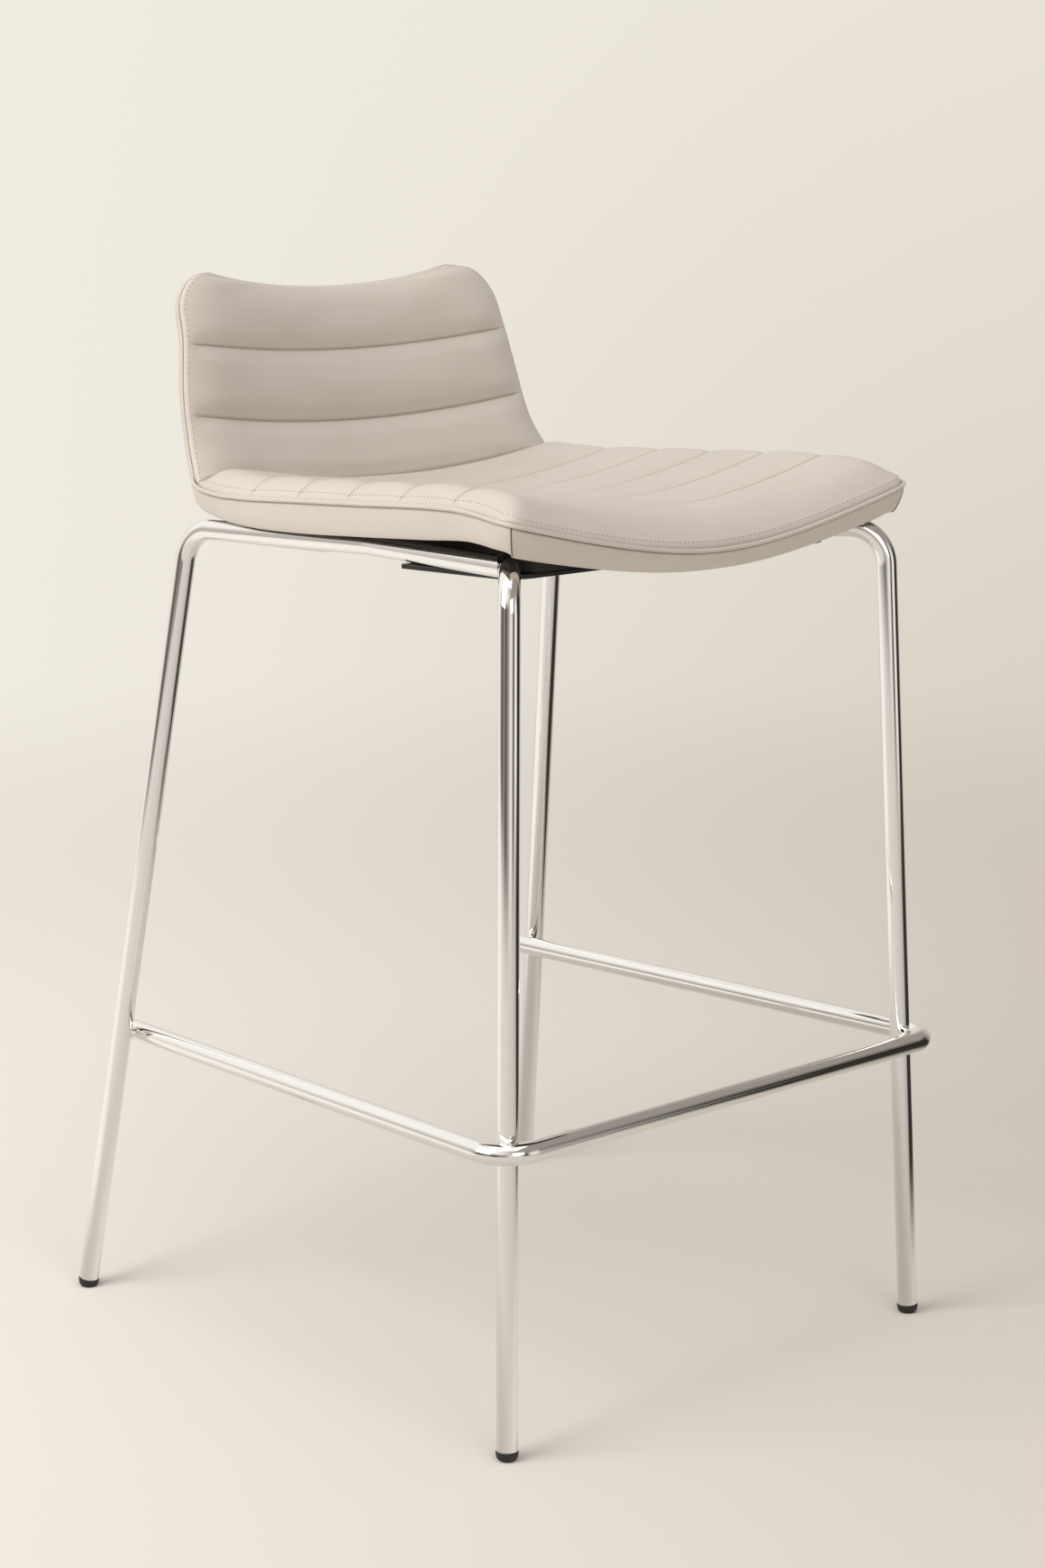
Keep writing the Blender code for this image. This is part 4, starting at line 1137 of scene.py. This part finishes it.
shell = closed_slab("seat_shell", upper_face, lifted(u, v, under), SHELL)
settle(shell, "shell", "moulded_shell")
dress(("left_seat_batten", "right_seat_batten"), SHELL)


# Seat pad: smooth synthetic leather over foam, sewn down in five channels across the seat.
# It rolls over at the front and sides to the piping and tucks into the crease under the back.
# The cover is blown up between its sewn lines by a cloth simulation, then the seams are pressed in.
LAYER_GAP = 0.0007
SEAT_SLOPES = (0.030, 0.048, 0.034)
SEAT_CORNER = 0.0195
SEAT_PAD_THICK = 0.0215
SEAT_NOSE = 0.14
NOSE_REACH = 0.0028
SEAT_CHANNEL_FIRST_Y = 0.064 + SHIFT_Y
SEAT_CHANNEL_PITCH = 0.067
SEAT_CHANNELS = 5
SEAT_GROOVE = (0.0024, 0.011, 0.001)
SEAM_DEPTH = 0.0010
SEAM_HALF = 0.0013
PUFF_CAP = 0.0035
TOPSTITCH_INSET = 0.0022
LEATHER_DARK = (0.540, 0.490, 0.440)
LEATHER_LIGHT = (0.615, 0.566, 0.515)
LEATHER_ROUGH = (0.40, 0.56)
LEATHER_FINE = 0.6
LEATHER_BUMP = (0.16, 0.0004)
LEATHER_SPECULAR = 0.42
# Painted shade mixed into the leather in the channel seams and on the skirt's top and inner edges: its
# colour, its share and its half width in the seams.
SEAM_SHADE = (0.30, 0.255, 0.21, 1)
SEAM_SHADE_SHARE = 0.45
SEAM_SHADE_HALF = 0.0032
COVER_CLOTH = {
    "quality": 8, "mass": 0.25, "tension_stiffness": 18.0, "compression_stiffness": 12.0,
    "shear_stiffness": 8.0, "bending_stiffness": 0.8, "use_pressure": True,
    "uniform_pressure_force": 4.0, "shrink_min": -0.006, "vertex_group_mass": "sewn",
}
COVER_FRAMES = 20
COVER_LEAST = 0.0004
PUFF_LEAST = -0.001
PUFF_STEP = 0.0055
PUFF_COLUMNS = 81
CALM_REACH = 8
CALM_SPREAD = 3.5
SEWN_EDGE = 0.004
SEWN_LINE = 0.0012
SEWN_FROM = 0.6
ROW_STEP = 0.0030
ROW_LEAST = 0.00018
EDGE_ROWS = np.array((0.0003, 0.0008, 0.0015, 0.0024, 0.0036, 0.0052, 0.0072, 0.0098, 0.013, 0.017))
EDGE_ROW_HALF = 0.2
SEAM_ROWS = (-0.0026, -0.0013, -0.0006, 0, 0.0006, 0.0013, 0.0026)
SEAT_COLUMN_STEP = 0.0135
SEAT_END_V = 7.5
SEAT_LOOK_U = 0.6
SEAT_LOOK_POINTS = 400


def leather():
    made, tree, shader = material("greige_leather")
    spread = grain(tree, 1150.0, 11.0)
    # The 'sewn' attribute mixes a painted shade into the leather's colour, in the channel seams and on the
    # skirt under the piping.
    sewn = node(tree, "ShaderNodeAttribute", attribute_name="sewn").outputs["Fac"]
    colour = tone(tree, spread["Cloud"], LEATHER_DARK, LEATHER_LIGHT)
    deep = mix_colours(tree, math_node(tree, "MULTIPLY", sewn, SEAM_SHADE_SHARE), colour, SEAM_SHADE)
    tree.links.new(deep, shader.inputs["Base Color"])
    tree.links.new(ranged(tree, spread["Fine"], *LEATHER_ROUGH), shader.inputs["Roughness"])
    fine = math_node(tree, "MULTIPLY", spread["Fine"], LEATHER_FINE)
    height = math_node(tree, "ADD", spread["Grain"], fine)
    raised = {"Height": height, "Strength": LEATHER_BUMP[0], "Distance": LEATHER_BUMP[1]}
    tree.links.new(node(tree, "ShaderNodeBump", raised).outputs[0], shader.inputs["Normal"])
    shader.inputs["Specular IOR Level"].default_value = LEATHER_SPECULAR
    return made


LEATHER = leather()


def keep_painted_shade(piece, values):
    """Keep how much painted shade each point gets, as the 'sewn' attribute, which darkens the leather
    there.
    """
    kept = piece.data.attributes.new("sewn", "FLOAT", "POINT")
    kept.data.foreach_set("value", np.asarray(values, np.float32))


def simulated_puff(arcs, shares, inset, height, sewn):
    """Height that a cover gains between its sewn lines, on a grid, from a cloth simulation."""
    u, v, distance, s = grid_places(arcs, shares, inset)
    places = lifted(u, v, height(distance, s))
    index, faces = grid_faces(*s.shape)
    mesh = bpy.data.meshes.new("cover_blank")
    mesh.from_pydata(places.reshape(-1, 3).tolist(), [], faces.tolist())
    blank = linked("cover_blank", mesh)
    pins = blank.vertex_groups.new(name="sewn")
    pins.add(index[sewn(distance, s)].tolist(), 1.0, "REPLACE")
    fabric = blank.modifiers.new("cover", "CLOTH").settings
    for label, value in COVER_CLOTH.items():
        setattr(fabric, label, value)
    fabric.effector_weights.gravity = 0.0
    scene = bpy.context.scene
    for k in range(1, COVER_FRAMES + 1):
        scene.frame_set(k)
    graph = bpy.context.evaluated_depsgraph_get()
    after = np.array([p.co for p in blank.evaluated_get(graph).data.vertices]).reshape(places.shape)
    scene.frame_set(1)
    bpy.data.objects.remove(blank, do_unlink=True)
    gain = np.clip(((after - places) * sheet_normal(u, v)).sum(-1), PUFF_LEAST, PUFF_CAP)
    across = np.arange(-CALM_REACH, CALM_REACH + 1)
    calm = np.exp(-0.5 * (across / CALM_SPREAD) ** 2)
    calm = calm / calm.sum()
    padded = np.pad(gain, ((0, 0), (CALM_REACH, CALM_REACH)), mode="edge")
    columns = gain.shape[1]
    return sum(weight * padded[:, k:k + columns] for k, weight in enumerate(calm))


def grid_value(arcs, shares, values, s, w):
    """Bilinear reading of a grid of values."""
    i = np.clip(np.searchsorted(arcs, s) - 1, 0, len(arcs) - 2)
    j = np.clip(np.searchsorted(shares, w) - 1, 0, len(shares) - 2)
    f = np.clip((s - arcs[i]) / (arcs[i + 1] - arcs[i]), 0, 1)
    g = np.clip((w - shares[j]) / (shares[j + 1] - shares[j]), 0, 1)
    low = values[i, j] * (1 - g) + values[i, j + 1] * g
    high = values[i + 1, j] * (1 - g) + values[i + 1, j + 1] * g
    return low * (1 - f) + high * f


def channel(s, seams):
    """Distance along the sheet to the nearest sewn channel."""
    return np.min([np.abs(s - seam) for seam in seams], axis=0)


class Pad:
    """A padded cover on the sheet: its plain form, what the simulation adds and its sewn channels."""

    def __init__(self, start, end, seams, thick, slopes, nose, groove, corner=0.0):
        self.start, self.end, self.seams, self.thick, self.nose = start, end, seams, thick, nose
        self.corner = corner
        self.side_slope, self.start_slope, self.end_slope = slopes
        self.groove_depth, self.groove_half, self.groove_fade = groove
        self.puff = None

    def inset(self, s):
        """How far the sewn edge lies inside the sheet's, with round corners at the start."""
        if not self.corner:
            return PAD_EDGE_INSET
        t = np.clip(1 - (s - self.start) / self.corner, 0, 1)
        return PAD_EDGE_INSET + self.corner * (1 - np.sqrt(1 - t * t))

    def slopes(self, distance, s):
        """Share of the full height: a small rolled edge, then a long soft slope, with full corners."""
        aside = distance + self.inset(s) - PAD_EDGE_INSET
        ahead = s - self.start
        edges = ((aside, self.side_slope), (ahead, self.start_slope), (self.end - s, self.end_slope))
        full = np.prod([1 - (1 - np.clip(a / reach, 0, 1)) ** 3 for a, reach in edges], axis=0)
        nearest = np.minimum(np.minimum(aside, ahead), self.end - s)
        if self.corner:
            gone = np.hypot(np.maximum(self.corner - aside, 0), np.maximum(self.corner - ahead, 0))
            nearest = np.minimum(nearest, self.corner - gone)
        return self.nose * roll(nearest, NOSE_REACH) + (1 - self.nose) * full

    def plain(self, distance, s):
        """Height of the cover before the simulation, with its sewn channels."""
        share = self.slopes(distance, s)
        near = np.clip(1 - channel(s, self.seams) / self.groove_half, 0, 1)
        full = self.thick * share - self.groove_depth * near ** 1.5 * share * self.fade(distance)
        return LAYER_GAP + PAD_EDGE + np.maximum(full, 0)

    def fade(self, distance):
        """The sewn channels end a little inside the sewn edge."""
        t = np.clip(distance / self.groove_fade, 0, 1)
        return t * t * (3 - 2 * t)

    def sewn(self, distance, s):
        """Where the simulation holds the cover: along its edge and its channels."""
        edge = (distance < SEWN_EDGE) | (s < self.start + SEWN_EDGE) | (s > self.end - SEWN_EDGE)
        return edge | (channel(s, self.seams) < SEWN_LINE) & (distance > self.groove_fade * SEWN_FROM)

    def simulate(self):
        stops = [self.start, *sorted(self.seams), self.end]
        arcs = []
        for a, b in zip(stops, stops[1:]):
            arcs.append(np.linspace(a, b, max(int((b - a) / PUFF_STEP), 3), endpoint=False))
        self.arcs = np.concatenate((*arcs, [self.end]))
        self.shares = np.linspace(-1, 1, PUFF_COLUMNS)
        self.puff = simulated_puff(self.arcs, self.shares, self.inset, self.plain, self.sewn)

    def height(self, distance, s, share):
        """Height of the finished cover, with the simulated puff and the pressed seams."""
        total = self.plain(distance, s)
        if self.puff is not None:
            total = total + grid_value(self.arcs, self.shares, self.puff, s, share)
        inner = self.slopes(distance, s) ** 0.5 * self.fade(distance)
        pressed = np.clip(1 - channel(s, self.seams) / SEAM_HALF, 0, 1)
        return np.maximum(total - SEAM_DEPTH * pressed * inner, LAYER_GAP + COVER_LEAST)

    def build(self, name, column_step):
        fine = [seam + d for seam in self.seams for d in SEAM_ROWS]
        arcs = thinned(np.concatenate((spaced(self.start, self.end, ROW_STEP, EDGE_ROWS), fine)), ROW_LEAST)
        shares = spaced(-1.0, 1.0, column_step, EDGE_ROWS / EDGE_ROW_HALF)
        u, v, distance, s = grid_places(arcs, shares, self.inset)
        share = np.broadcast_to(shares, s.shape)
        tops = lifted(u, v, self.height(distance, s, share))
        lows = lifted(u, v, np.full(s.shape, LAYER_GAP))
        piece = closed_slab(name, tops, lows, LEATHER)
        # Painted shade in the channel seams, darkest on the seam line.
        painted_seam_shade = np.clip(1 - channel(s, self.seams) / SEAM_SHADE_HALF, 0, 1) ** 2 * self.fade(distance)
        keep_painted_shade(piece, np.concatenate((painted_seam_shade.ravel(), np.zeros(painted_seam_shade.size))))
        return piece

    def surface(self, share, s):
        """Points and normals of the finished cover at shares of the width and arc lengths."""
        u, v, distance = places_at(s, share, self.inset)
        return lifted(u, v, self.height(distance, s, share)), sheet_normal(u, v)


def v_at_y(y):
    """Station where the seat, part of the way out, is at this y."""
    stations = np.linspace(0, SEAT_END_V, SEAT_LOOK_POINTS)
    return np.interp(y, sheet(np.full(SEAT_LOOK_POINTS, SEAT_LOOK_U), stations)[:, 1], stations)


CREASE_ARC = float(arc_at(CREASE_V))
seat_seams = []
for k in range(SEAT_CHANNELS):
    seat_seams.append(float(arc_at(v_at_y(SEAT_CHANNEL_FIRST_Y - SEAT_CHANNEL_PITCH * k))))
seat = Pad(
    PAD_EDGE_INSET, CREASE_ARC - GAP, seat_seams, SEAT_PAD_THICK, SEAT_SLOPES, SEAT_NOSE, SEAT_GROOVE,
    SEAT_CORNER,
)
seat.simulate()
seat_cover = seat.build("seat_cover", SEAT_COLUMN_STEP)
settle(seat_cover, "leather", "seat_pad")


# Back pad: the same leather over thinner foam, sewn down in two channels that rise towards the sides.
# It rolls over at the top and sides to the sewn rim and meets the seat in the crease.
BACK_PAD_THICK = 0.0120
BACK_SEAMS_V = (10.12, 11.73)
BACK_SLOPES = (0.050, 0.008, 0.030)
BACK_NOSE = 0.16
BACK_GROOVE = (0.0055, 0.016, 0.014)
BACK_COLUMN_STEP = 0.0145

back_seams = [float(arc_at(station)) for station in BACK_SEAMS_V]
back = Pad(
    CREASE_ARC + GAP, ARC_END - PAD_TOP_INSET, back_seams, BACK_PAD_THICK, BACK_SLOPES, BACK_NOSE,
    BACK_GROOVE,
)
back.simulate()
back_front_cover = back.build("back_front_cover", BACK_COLUMN_STEP)
settle(back_front_cover, "leather", "back_pad")


# Back cover: leather on a thin foam over the back's rear face, wrapped round the core's edge
# and sewn to the front cover in a flat rim. Its rear face isn't in the photograph.
RIM_WRAP = 0.64 * (CORE_INSET - PAD_EDGE_INSET)
COVER_STEP = 0.005
COVER_COLUMN_STEP = 0.025
COVER_COLUMN_ENDS = (0.002, 0.006, 0.012, 0.02)

cover_start = float(arc_at(BACK_COVER_V))
cover_end = ARC_END - PAD_TOP_INSET
cover_arcs = spaced(cover_start, cover_end, COVER_STEP, CLOSE)
cover_shares = spaced(-1.0, 1.0, COVER_COLUMN_STEP, COVER_COLUMN_ENDS)
u, v, distance, s = grid_places(cover_arcs, cover_shares, PAD_EDGE_INSET)
to_edge = np.minimum(distance, cover_end - s)
outside = -rear_depth(to_edge)
inside = np.maximum(-CORE_THICK - 2 * GAP, outside + COVER_LEATHER - GAP)
inside = np.where(to_edge < RIM_WRAP, -GAP, inside)
rear_cover = closed_slab("back_rear_cover", lifted(u, v, inside), lifted(u, v, outside), LEATHER)
settle(rear_cover, "leather", "back_cover")


# Skirt and piping: the band of leather that closes the seat's edge, and the corded seam above it.
# The band is pulled down over the edge and stapled under the shell, with a seam at each front corner.
SKIRT_DROPS = np.array((0.0252, 0.0230, 0.0234, 0.0268, 0.0272, 0.0274, 0.0244, 0.0200, 0.0160, 0.0040))
SKIRT_END_V = 8.45
SKIRT_FRONT_DROP = 0.0176
SKIRT_SIDE_LEAN = 0.0015
SKIRT_FRONT_LEAN = 0.015
SKIRT_CORNER_LEAN = 0.007
SKIRT_CORNER_REACH = 0.024
SKIRT_THICK = 0.0035
SKIRT_SWELL = 0.0010
SKIRT_NOSE = 0.012
SEAT_CORNER_SPREAD = 0.0175
EDGE_STEP = 0.0025
PIPING_R = 0.0018
SKIRT_SHOULDER = 0.0018
SKIRT_SHOULDER_REACH = 0.16
SKIRT_FRONT_ROUND = 0.1
SKIRT_FRONT_SPAN = 0.905
SKIRT_CORNER_V = 0.02
SKIRT_END_SHARE = 0.12
SKIRT_LEAN_POWER = 1.3
SKIRT_TUCK = 0.0012
SKIRT_TUCK_FROM = 0.9
SKIRT_TUCK_REACH = 0.1
SKIRT_LEVELS = np.array((0.0, 0.02, 0.06, 0.11, 0.17, 0.3, 0.45, 0.6, 0.75, 0.87, 0.95, 1.0))
SKIRT_INNER_LEVELS = (1.0, 0.5, 0.0)
SKIRT_INNER_DROP = 0.35 * SKIRT_THICK
# Painted shade on the skirt's three top rings, under the piping, and on its inner edge.
SKIRT_TOP_SHADES = [0.6, 0.3, 0.05]
SKIRT_INNER_SHADE = 0.75
EDGE_POINTS = 400
PIPING_SIDES = 14


def softened(values, distance, spread):
    """Values along a line, averaged over a short distance to both sides."""
    weight = np.exp(-0.5 * ((distance[:, None] - distance[None, :]) / spread) ** 2)
    weight /= weight.sum(1, keepdims=True)
    return weight @ values


def seat_edge(end_v):
    """The seat's sewn edge from the left rear, round the front, to the right rear."""
    down = np.linspace(end_v, 0, EDGE_POINTS, endpoint=False)
    front = np.linspace(-1, 1, EDGE_POINTS + 1)
    u = np.concatenate((np.full(EDGE_POINTS, -1.0), front, np.full(EDGE_POINTS, 1.0)))
    v = np.concatenate((down, np.zeros(EDGE_POINTS + 1), down[::-1]))
    line = sheet(u, v)
    run = np.concatenate(([0.0], np.cumsum(np.linalg.norm(np.diff(line, axis=0), axis=1))))
    even = np.linspace(0, run[-1], int(run[-1] / EDGE_STEP) + 1)
    line = np.stack([np.interp(even, run, line[:, k]) for k in range(3)], -1)
    u, v = np.interp(even, run, u), np.interp(even, run, v)
    ends = np.minimum(even, run[-1] - even)[:, None] > 4 * SEAT_CORNER_SPREAD
    line = np.where(ends, softened(line, even, SEAT_CORNER_SPREAD), line)
    ahead = np.gradient(line, axis=0)
    inward = unit(np.stack((-ahead[:, 1], ahead[:, 0], np.zeros(len(line))), -1))
    return line, inward, u, v, even


line, inward, u, v, along = seat_edge(SKIRT_END_V)
top = PIPING_R + GAP
front_share = (np.hypot(u, SKIRT_FRONT_ROUND) - SKIRT_FRONT_ROUND) / SKIRT_FRONT_SPAN
front_drop = SKIRT_FRONT_DROP + (SKIRT_DROPS[0] - SKIRT_FRONT_DROP) * front_share
drop = np.where(v > SKIRT_CORNER_V, spline(SKIRT_DROPS, v), front_drop)
to_end = np.minimum(along, along[-1] - along)
drop = top + (drop - top) * np.maximum(roll(to_end, SKIRT_NOSE), SKIRT_END_SHARE)
facing = np.maximum(inward[:, 1], 0) ** 2
lean = (SKIRT_SIDE_LEAN + (SKIRT_FRONT_LEAN - SKIRT_SIDE_LEAN) * facing) * drop / SKIRT_DROPS[0]
corners = along[v <= SKIRT_CORNER_V][[0, -1]]
to_corner = np.min(np.abs(along[:, None] - corners), axis=1)
lean = np.maximum(lean, SKIRT_CORNER_LEAN * np.exp(-(to_corner / SKIRT_CORNER_REACH) ** 2))
start = line + inward * GAP


def skirt_ring(level, inset, lower=0.0):
    """Line round the seat at a level of the skirt, from 0 at the piping to 1 at its lower edge."""
    depth = top + (drop - top) * level + lower
    return start + inward * inset[:, None] - np.array((0, 0, 1.0)) * depth[:, None]


rings = []
for level in SKIRT_LEVELS:
    tuck = SKIRT_TUCK * np.clip((level - SKIRT_TUCK_FROM) / SKIRT_TUCK_REACH, 0, 1)
    inset = lean * level ** SKIRT_LEAN_POWER - SKIRT_SWELL * np.sin(math.pi * level) + tuck
    rings.append(skirt_ring(level, inset + SKIRT_SHOULDER * (1 - roll(level, SKIRT_SHOULDER_REACH))))
for level in SKIRT_INNER_LEVELS:
    lower = SKIRT_INNER_DROP if level == 0.0 else 0.0
    rings.append(skirt_ring(level, lean * level ** SKIRT_LEAN_POWER + SKIRT_THICK, lower))
bm = bmesh.new()
skin(bm, [[Vector(ring[k]) for ring in rings] for k in range(len(line))])
skirt = piece_from_bmesh("seat_skirt_band", bm, LEATHER)
# The painted shade under the piping and on the inner edge goes into the 'sewn' attribute.
plain_shades = [0.0] * (len(rings) - len(SKIRT_TOP_SHADES) - 1)
keep_painted_shade(skirt, np.tile(SKIRT_TOP_SHADES + plain_shades + [SKIRT_INNER_SHADE], len(line)))
settle(skirt, "leather", "seat_skirt")

piping_values = {"Radius": PIPING_R, "Sides": PIPING_SIDES, "Finish": LEATHER}
piping = piece_from_tree("seat_edge_piping", line_mesh("seat_edge_piping", line), TUBE_TREE, piping_values)
settle(piping, "leather", "seat_piping")


# Stitches: tone-on-tone thread, coloured darker than the leather as a painted shade of the stitch holes, in
# a run above the piping, along the back's rim and in every channel.
# One rounded stitch is repeated along each run.
THREAD_D = 0.0010
STITCH_LONG = 0.0025
STITCH_PITCH = 0.0048
STITCH_BEAD = {"Segments": 6, "Rings": 5, "Radius": 0.5}
STITCH_START = 0.006
SEAT_STITCH_HALF = 0.2226
SEAT_STITCH_POINTS = 160
SEAT_STITCH_BELOW = 0.06
BACK_STITCH_HALF = 0.19
BACK_STITCH_POINTS = 120
SEAT_CHANNEL_REACH = 0.985
BACK_CHANNEL_REACH = 0.90
CHANNEL_POINTS = 120
# The thread is darker than the leather: its colour holds a painted shade of the stitch holes.
THREAD_WITH_PAINTED_SHADE = plain_finish(
    "greige_thread_with_painted_shade", cells=2500.0, clouds=40.0, dark=(0.40, 0.35, 0.30), light=(0.47, 0.42, 0.37),
    rough=(0.55, 0.75),
)


def stitch_tree():
    sizes = (("Pitch", "Float"), ("Length", "Float"), ("Thread", "Float"), ("Finish", "Material"))
    tree, given = new_tree("stitch_run", sizes)
    path = node(tree, "GeometryNodeMeshToCurve", {"Mesh": given["Geometry"]})
    pitch = {"Curve": path.outputs[0], "Length": given["Pitch"]}
    even = node(tree, "GeometryNodeResampleCurve", pitch, mode="LENGTH")
    bead = node(tree, "GeometryNodeMeshUVSphere", STITCH_BEAD)
    size = node(tree, "ShaderNodeCombineXYZ", {0: given["Length"], 1: given["Thread"], 2: given["Thread"]})
    drawn = {"Geometry": bead.outputs["Mesh"], "Scale": size.outputs[0]}
    shape = node(tree, "GeometryNodeTransform", drawn)
    tangent = node(tree, "GeometryNodeInputTangent")
    axes = {0: tangent.outputs[0], 1: kept_up(tree)}
    turn = node(tree, "FunctionNodeAxesToRotation", axes, primary_axis="X", secondary_axis="Z")
    copies = copies_on(tree, even.outputs[0], shape.outputs[0], turn.outputs[0])
    close_tree(tree, copies, given["Finish"])
    return tree


STITCH_TREE = stitch_tree()


def stitch_runs(name, runs):
    """One piece of thread from several runs of points and normals."""
    mesh = line_mesh(name, *[points for points, _ in runs])
    keep_ups(mesh, np.concatenate([normals for _, normals in runs]))
    values = {"Pitch": STITCH_PITCH, "Length": STITCH_LONG, "Thread": THREAD_D, "Finish": THREAD_WITH_PAINTED_SHADE}
    settle(piece_from_tree(name, mesh, STITCH_TREE, values), "leather")


def outward_ups(points):
    """Directions square to a run near an edge, pointing away from the seat's middle and up."""
    middle = np.array((0.0, points[:, 1].mean(), points[:, 2].mean() - SEAT_STITCH_BELOW))
    return unit(points - middle)


def edge_run(cover, half, first, last, count):
    """Points and normals of a run inside a cover's edge: along one side, across its end and back."""
    share = 1 - TOPSTITCH_INSET / half
    arcs = np.linspace(first, last, count)
    left = cover.surface(np.full(count, -share), arcs)
    across = cover.surface(np.linspace(-share, share, count), np.full(count, last))
    right = cover.surface(np.full(count, share), arcs[::-1])
    return [np.concatenate((a, b[1:-1], c)) for a, b, c in zip(left, across, right)]


seat_run, _ = edge_run(
    seat, SEAT_STITCH_HALF, seat.end - STITCH_START, seat.start + TOPSTITCH_INSET, SEAT_STITCH_POINTS,
)
stitch_runs("seat_topstitch", [(seat_run, outward_ups(seat_run))])
rim_run = edge_run(
    back, BACK_STITCH_HALF, back.start + STITCH_START, back.end - TOPSTITCH_INSET, BACK_STITCH_POINTS,
)
stitch_runs("back_topstitch", [rim_run])
channel_runs = []
for cover, reach in ((seat, SEAT_CHANNEL_REACH), (back, BACK_CHANNEL_REACH)):
    for seam in cover.seams:
        shares = np.linspace(-reach, reach, CHANNEL_POINTS)
        channel_runs.append(cover.surface(shares, np.full(CHANNEL_POINTS, seam)))
stitch_runs("channel_stitches", channel_runs)


# Skirt seams: a dark joint line down the skirt at each front corner, where its bands are sewn together.
# Each follows the skirt's own outer face, from the piping to the lower edge.
SKIRT_SEAM_R = 0.00045
SKIRT_SEAM_SIDES = 6

seam_values = {"Radius": SKIRT_SEAM_R, "Sides": SKIRT_SEAM_SIDES, "Finish": SHELL}
for label, corner in (("left", corners[0]), ("right", corners[1])):
    k = int(np.argmin(np.abs(along - corner)))
    points = [Vector(ring[k]) for ring in rings[:len(SKIRT_LEVELS)]]
    name = "skirt_seam_" + label
    settle(piece_from_tree(name, line_mesh(name, points), TUBE_TREE, seam_values), "leather")
